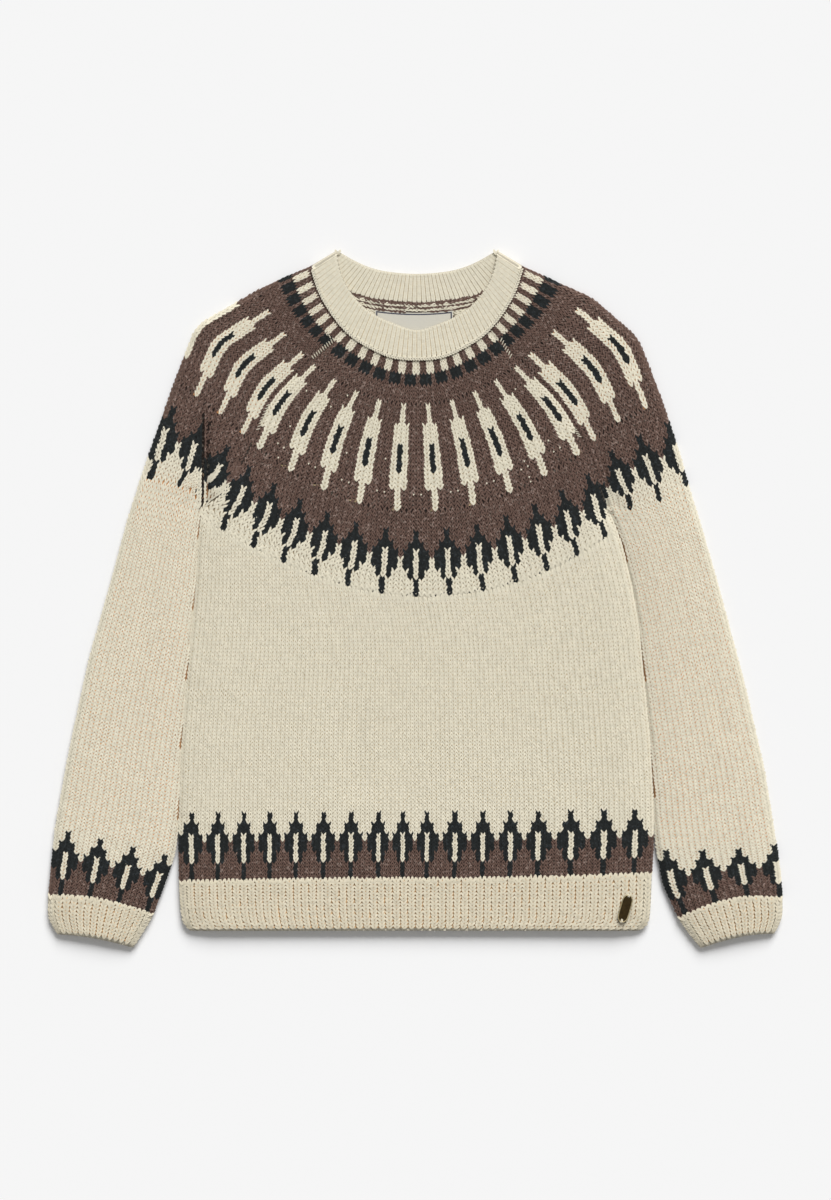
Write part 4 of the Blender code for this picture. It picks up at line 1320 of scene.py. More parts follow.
# %% Linking chain
def chain_along(line, count, height, wide, deep):
    """Loops laid nose to tail along a line."""
    corner = even(line, np.linspace(0, 1, count + 1))
    step, middle = corner[1:] - corner[:-1], (corner[1:] + corner[:-1]) / 2
    place = np.column_stack([middle, height(middle)])
    along = np.column_stack([step, np.gradient(place[:, 2])])
    size = np.column_stack([np.full(count, wide), np.linalg.norm(step, axis=1), np.full(count, deep)])
    part = Stitches()
    part.add_loose(place, along, size)
    return part


CHAIN_LOOPS = 112
PEAKS = [(-70.0, 312.0, NECK_LEVEL + 0.9), (72.4, 312.0, NECK_LEVEL + 0.9)]
PEAK_STITCH = (4.6, 4.2, 1.8)
seam = neck_line("front", -0.03)[2:-2]
chain_stitches = chain_along(seam, CHAIN_LOOPS, neck_height("front", 0.0), 3.0, 1.6)
# One more stitch closes each shoulder peak of the band.
chain_stitches.add_loose(PEAKS, (0.0, STITCH_TALL, 0.0), PEAK_STITCH)
print("chain loops", CHAIN_LOOPS)

# %% [markdown]
# ### Floats and odd stitches
#
# Yarn that isn't in use runs along the inside of fair isle as floats. Inside
# the back of the neck they show as broken brown stripes. On the outside the
# float peeps through as pale flecks between the spindles, and the raglan seams
# show a few pale linking stitches.

# %% Inside the back of the neck
# How far below the back's neck seam each stripe lies, and how wide it is.
STRIPES = {
    "brown": [(1.4, 2.9), (5.2, 2.0), (8.8, 2.0)],
    "cream": [(drop, 2.0) for drop in (3.3, 7.0, 10.6, 12.8, 15.0, 17.2, 19.4, 21.6)],
}
STRIPE_LOOPS, STRIPE_DEPTH, STRIPE_LIFT = 46, 1.3, 0.3
# The label covers what lies this close to its middle and below its upper edge.
LABEL_MIDDLE, LABEL_HALF, LABEL_EDGE = -1.3, 36.5, 259.6
inside_stripes = {}
for yarn, stripes in STRIPES.items():
    inside_stripes[yarn] = Stitches()
    for drop, wide in stripes:
        line = neck_line("back", 0.0)[12:-12] - (0.0, drop)
        level = back_top(drop) + STRIPE_LIFT
        part = chain_along(line, STRIPE_LOOPS, lambda p, z=level: np.full(len(p), z), wide, STRIPE_DEPTH)
        x, y = part.place[0][:, 0], part.place[0][:, 1]
        inside_stripes[yarn].take(part, (np.abs(x - LABEL_MIDDLE) > LABEL_HALF) | (y > LABEL_EDGE))
print("float loops inside:", [laid.count() for laid in inside_stripes.values()])


# %% Flecks and linking stitches
def on_front(places):
    """Whether plan places lie on the front, between its two edges."""
    return (places[:, 0] > edge_x(places[:, 1], RIGHT)) & (places[:, 0] < edge_x(places[:, 1], LEFT))


STRAND_DEPTH, STRAND_SUNK = 0.9, 0.1


def small_stitches(places, directions, wide, long):
    """Single short strands at plan places, each along its direction, on top of the cloth."""
    places, directions = np.array(places, float), np.array(directions, float)
    on_sleeve = np.where(places[:, 0] < 0, sleeve_top(RIGHT)(places), sleeve_top(LEFT)(places))
    tops = np.where(on_front(places), front_top(places), on_sleeve)
    part = Stitches()
    part.add_loose(np.column_stack([places, tops - STRAND_SUNK]),
                   np.column_stack([directions, np.zeros(len(places))]), (wide, long, STRAND_DEPTH))
    return part


# Two flecks lie in each gap between spindles, and some more are scattered over them.
FLECK_ROW = BORDER_TOP + 4
FLECK_REPEAT = 6
FLECK_SHIFTS = (3.1, 4.3)
SCATTERED_FLECKS, SCATTER_ROWS = 26, 24
flecks = []
corner = body_corners(front_row(FLECK_ROW), SPINDLE_ACROSS, FLECK_ROW)
for column in range(1, SPINDLE_ACROSS, FLECK_REPEAT):
    for shift in FLECK_SHIFTS:
        at = column + shift
        if at < SPINDLE_ACROSS - 1:
            low = int(at)
            flecks.append(corner[low] + (corner[low + 1] - corner[low]) * (at - low))
scatter = np.random.default_rng(5)
for _ in range(SCATTERED_FLECKS):
    v = BORDER_TOP + scatter.uniform(0, SCATTER_ROWS)
    column = scatter.integers(3, SPINDLE_ACROSS - 3)
    flecks.append(body_corners(front_row(v), SPINDLE_ACROSS, v)[column])
fleck_stitches = small_stitches(flecks, np.tile([0.25, 1.0], (len(flecks), 1)), 1.3, 1.1)


def dash_line(start, end, count, lean):
    """Short strands across a seam, from start to end."""
    start, end = np.array(start), np.array(end)
    places = [start + (end - start) * k / (count - 1) for k in range(count)]
    return places, [lean] * count


dashes, leans = [], []
for start, end, count, lean in (
    ((-73.4, 233.7), (-92.3, 218.0), 11, (-0.45, 0.9)),
    ((-80.0, 239.0), (-77.0, 236.5), 2, (-0.45, 0.9)),
    ((77.0, 233.5), (85.5, 219.0), 7, (0.45, 0.9)),
    ((-133.0, 175.0), (-142.0, 153.5), 9, (0.9, 0.3)),
    ((144.0, 153.5), (148.0, 147.0), 4, (-0.9, 0.3)),
):
    more, ways = dash_line(start, end, count, lean)
    dashes += more
    leans += ways
dash_stitches = small_stitches(dashes, leans, 1.1, 2.4)
print("flecks", len(flecks), "linking stitches", len(dashes))

# %% [markdown]
# ## Loops of yarn, by Geometry Nodes
#
# A knit stitch shows as a V: two plump legs of yarn that come out of the loop
# below and lean apart. One tree puts such a V on every point that we laid out,
# turned to its column and its cloth. Each leg is only sixteen triangles,
# because there are over twenty thousand of them. The same tree makes purl bumps
# and floats when its legs are laid flat.

# %% The tree's helpers
def new_node(tree, kind, at, **settings):
    node = tree.nodes.new(kind)
    node.location = at
    for key, value in settings.items():
        setattr(node, key, value)
    return node


def join(tree, *pairs):
    for a, b in pairs:
        tree.links.new(a, b)


# %% The tree
def stitch_tree():
    tree = bpy.data.node_groups.new("loops_of_yarn", "GeometryNodeTree")
    for name, kind, value in (
        ("Stitches", "NodeSocketGeometry", None), ("Yarn", "NodeSocketMaterial", None),
        ("Leg Slant", "NodeSocketFloat", 19.0), ("Leg Spread", "NodeSocketFloat", 0.27),
        ("Leg Rise", "NodeSocketFloat", 0.2), ("Leg Half Width", "NodeSocketFloat", 0.3),
        ("Leg Half Length", "NodeSocketFloat", 0.95), ("Leg Tilt", "NodeSocketFloat", 4.0),
        ("Unevenness", "NodeSocketFloat", 1.0), ("Seed", "NodeSocketInt", 1),
    ):
        socket = tree.interface.new_socket(name, in_out="INPUT", socket_type=kind)
        if value is not None:
            socket.default_value = value
    tree.interface.new_socket("Loops", in_out="OUTPUT", socket_type="NodeSocketGeometry")
    given = new_node(tree, "NodeGroupInput", (-1400, 0))
    legs = []
    for side in (-1, 1):
        y = 300 * side
        ball = new_node(tree, "GeometryNodeMeshUVSphere", (-1000, y))
        ball.inputs["Segments"].default_value = 4
        ball.inputs["Rings"].default_value = 3
        ball.inputs["Radius"].default_value = 1.0
        # The ball's poles become the leg's ends: tipped over with a flat side up, then stretched and leant.
        tip = new_node(tree, "GeometryNodeTransform", (-840, y))
        tip.inputs["Rotation"].default_value = (math.pi / 2, math.pi / 4, 0.0)
        size = new_node(tree, "ShaderNodeCombineXYZ", (-1000, y - 160))
        size.inputs["Z"].default_value = 0.5
        stretch = new_node(tree, "GeometryNodeTransform", (-680, y))
        lean = new_node(tree, "ShaderNodeMath", (-1000, y - 300), operation="MULTIPLY")
        lean.inputs[1].default_value = -side * math.pi / 180
        tilt = new_node(tree, "ShaderNodeMath", (-1000, y - 420), operation="MULTIPLY")
        tilt.inputs[1].default_value = -math.pi / 180
        turn = new_node(tree, "ShaderNodeCombineXYZ", (-840, y - 300))
        off = new_node(tree, "ShaderNodeMath", (-1000, y - 540), operation="MULTIPLY")
        off.inputs[1].default_value = side
        shift = new_node(tree, "ShaderNodeCombineXYZ", (-840, y - 540))
        place = new_node(tree, "GeometryNodeTransform", (-520, y))
        join(
            tree,
            (ball.outputs["Mesh"], tip.inputs["Geometry"]),
            (given.outputs["Leg Half Width"], size.inputs["X"]),
            (given.outputs["Leg Half Length"], size.inputs["Y"]),
            (tip.outputs["Geometry"], stretch.inputs["Geometry"]),
            (size.outputs["Vector"], stretch.inputs["Scale"]),
            (given.outputs["Leg Slant"], lean.inputs[0]),
            (given.outputs["Leg Tilt"], tilt.inputs[0]),
            (tilt.outputs["Value"], turn.inputs["X"]),
            (lean.outputs["Value"], turn.inputs["Z"]),
            (given.outputs["Leg Spread"], off.inputs[0]),
            (off.outputs["Value"], shift.inputs["X"]),
            (given.outputs["Leg Rise"], shift.inputs["Y"]),
            (stretch.outputs["Geometry"], place.inputs["Geometry"]),
            (turn.outputs["Vector"], place.inputs["Rotation"]),
            (shift.outputs["Vector"], place.inputs["Translation"]),
        )
        legs.append(place)
    both = new_node(tree, "GeometryNodeJoinGeometry", (-340, 0))
    rounded = new_node(tree, "GeometryNodeSetShadeSmooth", (-260, 0))
    angle = new_node(tree, "GeometryNodeInputMeshEdgeAngle", (-340, -160))
    steep = new_node(tree, "FunctionNodeCompare", (-180, -160), data_type="FLOAT", operation="GREATER_THAN")
    steep.inputs["B"].default_value = 1.1
    # The yarn's broad top stays soft, and only its sides turn sharply down.
    smooth_legs = new_node(tree, "GeometryNodeSetShadeSmooth", (-100, 0), domain="EDGE")
    smooth_legs.inputs["Shade Smooth"].default_value = False
    join(
        tree,
        (legs[0].outputs[0], both.inputs[0]), (legs[1].outputs[0], both.inputs[0]),
        (both.outputs[0], rounded.inputs["Geometry"]),
        (rounded.outputs["Geometry"], smooth_legs.inputs["Geometry"]),
        (angle.outputs["Unsigned Angle"], steep.inputs["A"]),
        (steep.outputs["Result"], smooth_legs.inputs["Selection"]),
    )
    fields = {}
    for k, name in enumerate(("along", "face", "size")):
        at = (-600, -900 - 160 * k)
        node = new_node(tree, "GeometryNodeInputNamedAttribute", at, data_type="FLOAT_VECTOR")
        node.inputs["Name"].default_value = name
        fields[name] = node.outputs["Attribute"]
    aim = new_node(tree, "FunctionNodeAxesToRotation", (-340, -900), primary_axis="Z", secondary_axis="Y")
    wobble = new_node(tree, "FunctionNodeRandomValue", (-600, -1400), data_type="FLOAT_VECTOR")
    wobble.inputs["Min"].default_value = (-0.05, -0.05, -0.09)
    wobble.inputs["Max"].default_value = (0.05, 0.05, 0.09)
    scaled = new_node(tree, "ShaderNodeVectorMath", (-440, -1400), operation="SCALE")
    euler = new_node(tree, "FunctionNodeEulerToRotation", (-280, -1400))
    turned = new_node(tree, "FunctionNodeRotateRotation", (-120, -1000), rotation_space="LOCAL")
    swell = new_node(tree, "FunctionNodeRandomValue", (-600, -1600), data_type="FLOAT_VECTOR")
    swell.inputs["Min"].default_value = (-0.07, -0.07, -0.10)
    swell.inputs["Max"].default_value = (0.07, 0.05, 0.06)
    swelling = new_node(tree, "ShaderNodeVectorMath", (-440, -1600), operation="SCALE")
    one_more = new_node(tree, "ShaderNodeVectorMath", (-280, -1600), operation="ADD")
    one_more.inputs[1].default_value = (1.0, 1.0, 1.0)
    final_size = new_node(tree, "ShaderNodeVectorMath", (-120, -1300), operation="MULTIPLY")
    put = new_node(tree, "GeometryNodeInstanceOnPoints", (60, 0))
    shade = new_node(tree, "FunctionNodeRandomValue", (60, -500), data_type="FLOAT")
    keep = new_node(tree, "GeometryNodeStoreNamedAttribute", (240, 0), data_type="FLOAT", domain="INSTANCE")
    keep.inputs["Name"].default_value = "loop_tone"
    real = new_node(tree, "GeometryNodeRealizeInstances", (420, 0))
    dye = new_node(tree, "GeometryNodeSetMaterial", (600, 0))
    out = new_node(tree, "NodeGroupOutput", (780, 0))
    join(
        tree,
        (fields["face"], aim.inputs["Primary Axis"]), (fields["along"], aim.inputs["Secondary Axis"]),
        (given.outputs["Seed"], wobble.inputs["Seed"]), (given.outputs["Seed"], swell.inputs["Seed"]),
        (given.outputs["Seed"], shade.inputs["Seed"]),
        (wobble.outputs["Value"], scaled.inputs[0]), (given.outputs["Unevenness"], scaled.inputs["Scale"]),
        (scaled.outputs[0], euler.inputs["Euler"]),
        (aim.outputs["Rotation"], turned.inputs["Rotation"]),
        (euler.outputs["Rotation"], turned.inputs["Rotate By"]),
        (swell.outputs["Value"], swelling.inputs[0]), (given.outputs["Unevenness"], swelling.inputs["Scale"]),
        (swelling.outputs[0], one_more.inputs[0]),
        (fields["size"], final_size.inputs[0]), (one_more.outputs[0], final_size.inputs[1]),
        (given.outputs["Stitches"], put.inputs["Points"]),
        (smooth_legs.outputs["Geometry"], put.inputs["Instance"]),
        (turned.outputs["Rotation"], put.inputs["Rotation"]), (final_size.outputs[0], put.inputs["Scale"]),
        (put.outputs["Instances"], keep.inputs["Geometry"]), (shade.outputs[1], keep.inputs["Value"]),
        (keep.outputs["Geometry"], real.inputs["Geometry"]),
        (real.outputs["Geometry"], dye.inputs["Geometry"]),
        (given.outputs["Yarn"], dye.inputs["Material"]), (dye.outputs["Geometry"], out.inputs[0]),
    )
    return tree


LOOPS = stitch_tree()
print("nodes in the stitch tree:", len(LOOPS.nodes))

# %% [markdown]
# ## Wool
#
# Wool is matte, with a soft sheen from its loose fibres. The cream is undyed,
# so it is a little uneven. The brown is a heather: lighter and darker fibres
# are spun together. One node group gives the fibre and the heather to every
# yarn, and each yarn sets its own colours.

# %% Shared wool group
def shader_group(name, inputs, outputs):
    group = bpy.data.node_groups.new(name, "ShaderNodeTree")
    for label, kind, value in inputs:
        socket = group.interface.new_socket(label, in_out="INPUT", socket_type=kind)
        if value is not None:
            socket.default_value = value
    for label, kind in outputs:
        group.interface.new_socket(label, in_out="OUTPUT", socket_type=kind)
    return group, new_node(group, "NodeGroupInput", (-1200, 0)), new_node(group, "NodeGroupOutput", (900, 0))


def mix_colours(tree, at, factor, a, b, blend="MIX"):
    """A Mix node for colours, its factor and colours given as sockets or values. Returns its output."""
    node = new_node(tree, "ShaderNodeMix", at, data_type="RGBA", blend_type=blend)
    for index, value in ((0, factor), (6, a), (7, b)):
        if isinstance(value, bpy.types.NodeSocket):
            tree.links.new(value, node.inputs[index])
        else:
            node.inputs[index].default_value = value
    return node.outputs[2]


def sums(tree, at, operation, a, b=None, c=None, clamp=False):
    """A Math node, its values given as sockets or numbers. Returns its output."""
    node = new_node(tree, "ShaderNodeMath", at, operation=operation, use_clamp=clamp)
    for index, value in enumerate((a, b, c)):
        if isinstance(value, bpy.types.NodeSocket):
            tree.links.new(value, node.inputs[index])
        elif value is not None:
            node.inputs[index].default_value = value
    return node.outputs[0]


def as_grey(tree, at, value):
    """A number as a shade of grey."""
    node = new_node(tree, "ShaderNodeCombineColor", at)
    join(tree, *[(value, node.inputs[k]) for k in range(3)])
    return node.outputs[0]


def wool_group():
    group, given, out = shader_group(
        "wool",
        [("Colour", "NodeSocketColor", (0.6, 0.55, 0.45, 1)),
         ("Light Fibre", "NodeSocketColor", (0.8, 0.8, 0.7, 1)),
         ("Dark Fibre", "NodeSocketColor", (0.3, 0.3, 0.2, 1)), ("Heather", "NodeSocketFloat", 0.3),
         ("Tone", "NodeSocketFloat", 0.5), ("Tone Spread", "NodeSocketFloat", 0.15),
         ("Fibre Scale", "NodeSocketFloat", 1.0)],
        [("Colour", "NodeSocketColor"), ("Height", "NodeSocketFloat"), ("Roughness", "NodeSocketFloat")],
    )
    where = new_node(group, "ShaderNodeTexCoord", (-1200, -300))
    size = new_node(group, "ShaderNodeVectorMath", (-1000, -300), operation="SCALE")
    join(group, (where.outputs["Object"], size.inputs[0]),
         (given.outputs["Fibre Scale"], size.inputs["Scale"]))
    noises = []
    for k, (scale, detail) in enumerate(((420.0, 2.0), (610.0, 2.0), (1900.0, 3.0), (28.0, 2.0))):
        noise = new_node(group, "ShaderNodeTexNoise", (-800, -200 * k))
        noise.inputs["Scale"].default_value = scale
        noise.inputs["Detail"].default_value = detail
        join(group, (size.outputs[0], noise.inputs["Vector"]))
        noises.append(noise.outputs["Fac"])
    light = sums(group, (-560, 0), "MULTIPLY_ADD", noises[0], 7.0, -3.85, clamp=True)
    dark = sums(group, (-560, -200), "MULTIPLY_ADD", noises[1], 7.0, -3.85, clamp=True)
    light = sums(group, (-400, 0), "MULTIPLY", light, given.outputs["Heather"])
    dark = sums(group, (-400, -200), "MULTIPLY", dark, given.outputs["Heather"])
    colour = mix_colours(group, (-220, 0), light, given.outputs["Colour"], given.outputs["Light Fibre"])
    colour = mix_colours(group, (-40, 0), dark, colour, given.outputs["Dark Fibre"])
    patch = sums(group, (-560, -600), "MULTIPLY_ADD", noises[3], 0.24, -0.12)
    tone_value = sums(group, (-400, -500), "SUBTRACT", given.outputs["Tone"], 0.5)
    tone_value = sums(group, (-240, -500), "MULTIPLY_ADD", tone_value, given.outputs["Tone Spread"], 1.0)
    tone_value = sums(group, (-80, -500), "MULTIPLY_ADD", patch, given.outputs["Tone Spread"], tone_value)
    fibre = sums(group, (-400, -700), "MULTIPLY_ADD", noises[2], 0.3, 0.85)
    bright = sums(group, (100, -500), "MULTIPLY", tone_value, fibre)
    colour = mix_colours(group, (460, 0), 1.0, colour, as_grey(group, (280, -500), bright), "MULTIPLY")
    height = sums(group, (460, -400), "ADD", noises[2], noises[0])
    rough = sums(group, (460, -600), "MULTIPLY_ADD", noises[2], 0.12, 0.84)
    join(group, (colour, out.inputs["Colour"]), (height, out.inputs["Height"]),
         (rough, out.inputs["Roughness"]))
    return group


WOOL = wool_group()


# %% Yarn materials
def rgb(r, g, b):
    """A colour from its usual 0 to 255 numbers."""
    shares = [c / 255 for c in (r, g, b)]
    return tuple(c / 12.92 if c <= 0.04045 else ((c + 0.055) / 1.055) ** 2.4 for c in shares) + (1.0,)


def plain_material(name):
    material = bpy.data.materials.new(name)
    material.use_nodes = True
    tree = material.node_tree
    shader = tree.nodes["Principled BSDF"]
    shader.location = (600, 0)
    tree.nodes["Material Output"].location = (900, 0)
    return material, tree, shader


def group_node(tree, group, at, **values):
    node = new_node(tree, "ShaderNodeGroup", at, node_tree=group)
    for label, value in values.items():
        node.inputs[label.replace("_", " ")].default_value = value
    return node


def bump(tree, shader, height, strength, distance_mm):
    node = new_node(tree, "ShaderNodeBump", (400, -400))
    node.inputs["Strength"].default_value = strength
    node.inputs["Distance"].default_value = distance_mm * MM
    join(tree, (height, node.inputs["Height"]), (node.outputs["Normal"], shader.inputs["Normal"]))


def soft_sheen(shader, weight, tint):
    shader.inputs["Sheen Weight"].default_value = weight
    shader.inputs["Sheen Roughness"].default_value = 0.5
    shader.inputs["Sheen Tint"].default_value = tint
    shader.inputs["Specular IOR Level"].default_value = 0.2


YARN_COLOURS = {
    # yarn: colour, light fibre, dark fibre, heather, spread of tone
    "cream": (rgb(221, 214, 193), rgb(236, 230, 214), rgb(205, 191, 162), 0.25, 0.08),
    # The rib cream is the cream darkened a little: painted shade for the light falling off towards the hem
    # and the cuffs.
    "shaded_rib_cream": (rgb(214, 205, 182), rgb(228, 221, 203), rgb(198, 183, 151), 0.25, 0.08),
    "brown": (rgb(101, 80, 71), rgb(154, 134, 124), rgb(54, 39, 32), 0.75, 0.26),
    "black": (rgb(33, 36, 36), rgb(60, 66, 70), rgb(17, 18, 18), 0.5, 0.25),
}


def yarn_material(name):
    colour, light, dark, heather, spread = YARN_COLOURS[name]
    material, tree, shader = plain_material(name + "_yarn")
    wool = group_node(tree, WOOL, (0, 0), Colour=colour, Light_Fibre=light, Dark_Fibre=dark,
                      Heather=heather, Tone_Spread=spread)
    loop = new_node(tree, "ShaderNodeAttribute", (-300, 0), attribute_name="loop_tone")
    join(tree, (loop.outputs["Fac"], wool.inputs["Tone"]),
         (wool.outputs["Colour"], shader.inputs["Base Color"]),
         (wool.outputs["Roughness"], shader.inputs["Roughness"]))
    bump(tree, shader, wool.outputs["Height"], 0.5, 0.25)
    soft_sheen(shader, 0.25, light)
    return material


YARN = {name: yarn_material(name) for name in YARN_COLOURS}
print("yarns:", ", ".join(YARN))

# %% [markdown]
# ## Cloth
#
# The shells show between the loops and underneath. A second group draws the
# knit there as a pattern on the shell's own UV map, in which one unit across is
# a stitch and one unit up is a row. It picks the yarn from the colour code of
# the face, and gives covered places the warm shadow between loops of wool.

# %% Cloth group
def knit_group():
    group, given, out = shader_group(
        "knit_cloth",
        [("Cream", "NodeSocketColor", rgb(222, 214, 192)), ("Brown", "NodeSocketColor", rgb(100, 79, 70)),
         ("Black", "NodeSocketColor", rgb(30, 33, 33)), ("Cream Gap", "NodeSocketColor", rgb(196, 164, 118)),
         ("Brown Gap", "NodeSocketColor", rgb(32, 21, 17)), ("Black Gap", "NodeSocketColor", rgb(12, 13, 13)),
         ("Float Gap", "NodeSocketColor", rgb(120, 104, 84)), ("Row Slant", "NodeSocketFloat", 0.55),
         ("Row Depth", "NodeSocketFloat", 0.5), ("Shade", "NodeSocketFloat", 0.8)],
        [("Colour", "NodeSocketColor"), ("Tone", "NodeSocketFloat"), ("Height", "NodeSocketFloat")],
    )
    code = new_node(group, "ShaderNodeAttribute", (-1000, 300), attribute_name="yarn")
    parts = new_node(group, "ShaderNodeSeparateColor", (-800, 300))
    join(group, (code.outputs["Color"], parts.inputs[0]))
    red, green, blue = parts.outputs
    seen = mix_colours(group, (-500, 400), red, given.outputs["Cream"], given.outputs["Brown"])
    seen = mix_colours(group, (-300, 400), green, seen, given.outputs["Black"])
    # The gap colours are painted shade: the warm shadow deep between loops, darker under brown and black
    # yarn, and mixed towards Float Gap by blue.
    cream_gap = mix_colours(group, (-700, 100), blue, given.outputs["Cream Gap"], given.outputs["Float Gap"])
    gap = mix_colours(group, (-500, 100), red, cream_gap, given.outputs["Brown Gap"])
    gap = mix_colours(group, (-300, 100), green, gap, given.outputs["Black Gap"])
    colour = mix_colours(group, (-100, 300), code.outputs["Alpha"], seen, gap)
    knit_map = new_node(group, "ShaderNodeUVMap", (-1200, -400), uv_map="knit")
    split = new_node(group, "ShaderNodeSeparateXYZ", (-1000, -400))
    join(group, (knit_map.outputs["UV"], split.inputs[0]))
    u = sums(group, (-800, -300), "FRACT", split.outputs["X"])
    from_middle = sums(group, (-640, -300), "SUBTRACT", u, 0.5)
    s = sums(group, (-480, -300), "ABSOLUTE", from_middle)
    leg = sums(group, (-320, -300), "MULTIPLY_ADD", s, 4.0, -1.0)
    leg = sums(group, (-160, -300), "MULTIPLY", leg, leg)
    slant = sums(group, (-640, -500), "MULTIPLY", s, given.outputs["Row Slant"])
    slant = sums(group, (-480, -500), "MULTIPLY_ADD", slant, -2.0, split.outputs["Y"])
    slant = sums(group, (-320, -500), "FRACT", slant)
    row = sums(group, (-160, -500), "MULTIPLY_ADD", slant, 2.0, -1.0)
    row = sums(group, (0, -500), "MULTIPLY", row, row)
    row = sums(group, (120, -500), "MULTIPLY", row, given.outputs["Row Depth"])
    # The knit's relief is also painted as shade: where legs and rows dip, the colour is darkened, as far as
    # Shade says.
    height = sums(group, (160, -400), "MULTIPLY_ADD", leg, -0.6, 1.0)
    height = sums(group, (320, -400), "SUBTRACT", height, row, clamp=True)
    shade = sums(group, (480, -400), "MULTIPLY_ADD", height, 0.45, 0.55)
    grey = as_grey(group, (640, -300), shade)
    colour = mix_colours(group, (700, 200), given.outputs["Shade"], colour, grey, "MULTIPLY")
    join(group, (colour, out.inputs["Colour"]), (blue, out.inputs["Tone"]), (height, out.inputs["Height"]))
    return group


KNIT = knit_group()


def cloth_material(name, gap, slant=0.55, row_depth=0.5, shade=0.7):
    material, tree, shader = plain_material(name)
    knit = group_node(tree, KNIT, (-300, 0), Cream_Gap=gap, Row_Slant=slant, Row_Depth=row_depth, Shade=shade)
    wool = group_node(tree, WOOL, (0, 0), Light_Fibre=rgb(215, 205, 185), Dark_Fibre=rgb(70, 58, 48),
                      Heather=0.12, Tone_Spread=0.12)
    height = sums(tree, (200, -400), "MULTIPLY_ADD", wool.outputs["Height"], 0.12, knit.outputs["Height"])
    join(tree, (knit.outputs["Colour"], wool.inputs["Colour"]), (knit.outputs["Tone"], wool.inputs["Tone"]),
         (wool.outputs["Colour"], shader.inputs["Base Color"]),
         (wool.outputs["Roughness"], shader.inputs["Roughness"]))
    bump(tree, shader, height, 0.8, 0.9)
    soft_sheen(shader, 0.15, rgb(230, 222, 205))
    return material


# The second colour of each cloth is its Cream Gap, the painted warm shade between its cream loops.
CLOTH = {
    "body": cloth_material("body_cloth", rgb(206, 182, 138)),
    "sleeve": cloth_material("sleeve_cloth", rgb(236, 164, 96)),
    "rib": cloth_material("rib_cloth", rgb(232, 188, 136), 0.7),
    "neck": cloth_material("neckband_cloth", rgb(226, 206, 168), 0.0, 0.0, 0.1),
}
WORN = {
    "body": [front_cloth, back_cloth],
    "sleeve": [sleeve_cloth[RIGHT], sleeve_cloth[LEFT]],
    "rib": [hem_front_cloth, hem_back_cloth, cuff_cloth[RIGHT], cuff_cloth[LEFT]],
    "neck": [neckband_cloth],
}
for finish, shells in WORN.items():
    for thing in shells:
        thing.data.materials.append(CLOTH[finish])
print("cloths:", ", ".join(CLOTH))


# %% [markdown]
# ## Knitting
#
# Each set of stitches goes to the tree as bare points that carry their own
# directions and size. The tree's result is kept as a plain mesh. A big set is
# cut into pieces across the rows, so that none has too many triangles.

# %% Knit the loops
MOST_LOOPS = 6100


def knit(name, stitches, yarn, pick=None, seed=1, **shape):
    """Turns laid-out stitches of one yarn into pieces of real loops, each under the triangle limit."""
    place, along, face, size, yarns = stitches.all()
    chosen = np.arange(len(place)) if pick is None else np.flatnonzero(yarns == pick)
    chosen = chosen[np.argsort(place[chosen, 1], kind="stable")]
    pieces = []
    parts = max(1, math.ceil(len(chosen) / MOST_LOOPS))
    for k, rows in enumerate(np.array_split(chosen, parts)):
        if not len(rows):
            continue
        mesh = bpy.data.meshes.new("points")
        mesh.from_pydata(((place[rows] - ORIGIN) * MM).tolist(), [], [])
        for label, values in (("along", along[rows]), ("face", face[rows]), ("size", size[rows] * MM)):
            layer = mesh.attributes.new(label, "FLOAT_VECTOR", "POINT")
            layer.data.foreach_set("vector", np.ascontiguousarray(values, dtype=np.float32).ravel())
        base = link("points", mesh)
        modifier = base.modifiers.new("loops", "NODES")
        modifier.node_group = LOOPS
        values = {"Yarn": YARN[yarn], "Seed": seed + k, **shape}
        for item in LOOPS.interface.items_tree:
            if item.item_type == "SOCKET" and item.in_out == "INPUT" and item.name in values:
                modifier[item.identifier] = values[item.name]
        bpy.context.view_layer.update()
        graph = bpy.context.evaluated_depsgraph_get()
        made = bpy.data.meshes.new_from_object(base.evaluated_get(graph))
        bpy.data.objects.remove(base)
        label = name if parts == 1 else f"{name}_{k + 1}"
        made.name = label
        if not made.materials:
            made.materials.append(YARN[yarn])
        pieces.append(link(label, made))
        print(label, len(rows), "loops,", sum(len(p.vertices) - 2 for p in made.polygons), "triangles")
    return pieces


# In the order of the charts' letters: the yarns, and how their legs differ from the tree's own.
LEGS = {"cream": {}, "brown": {"Leg Half Width": 0.24}, "black": {"Leg Half Width": 0.33}}
RIB_LEGS = {
    "Leg Slant": 16.0, "Leg Spread": 0.245, "Leg Half Width": 0.305, "Leg Half Length": 0.95, "Leg Tilt": 5.0,
}
NECK_LEGS = {
    "Leg Slant": 4.0, "Leg Spread": 0.2, "Leg Half Width": 0.37, "Leg Half Length": 1.1, "Unevenness": 0.5,
}
CHAIN_LEGS = {"Leg Slant": 26.0, "Leg Spread": 0.24, "Leg Half Width": 0.4, "Leg Half Length": 0.72}
FLOAT_LEGS = {"Leg Slant": 26.0, "Leg Half Width": 0.42, "Unevenness": 2.2}
FLECK_LEGS = {"Leg Spread": 0.12, "Leg Half Width": 0.42}
DASH_LEGS = {"Leg Slant": 0.0, "Leg Spread": 0.1, "Leg Half Width": 0.42}
TACK_LEGS = {"Leg Slant": 0.0, "Leg Spread": 0.22}


def knit_chart(name, stitches, seed):
    """The loops of all three yarns of a patterned piece."""
    pieces = []
    for code, (yarn, legs) in enumerate(LEGS.items()):
        pieces += knit(f"{name}_{yarn}_loops", stitches, yarn, code, seed=seed + code, **legs)
    return pieces


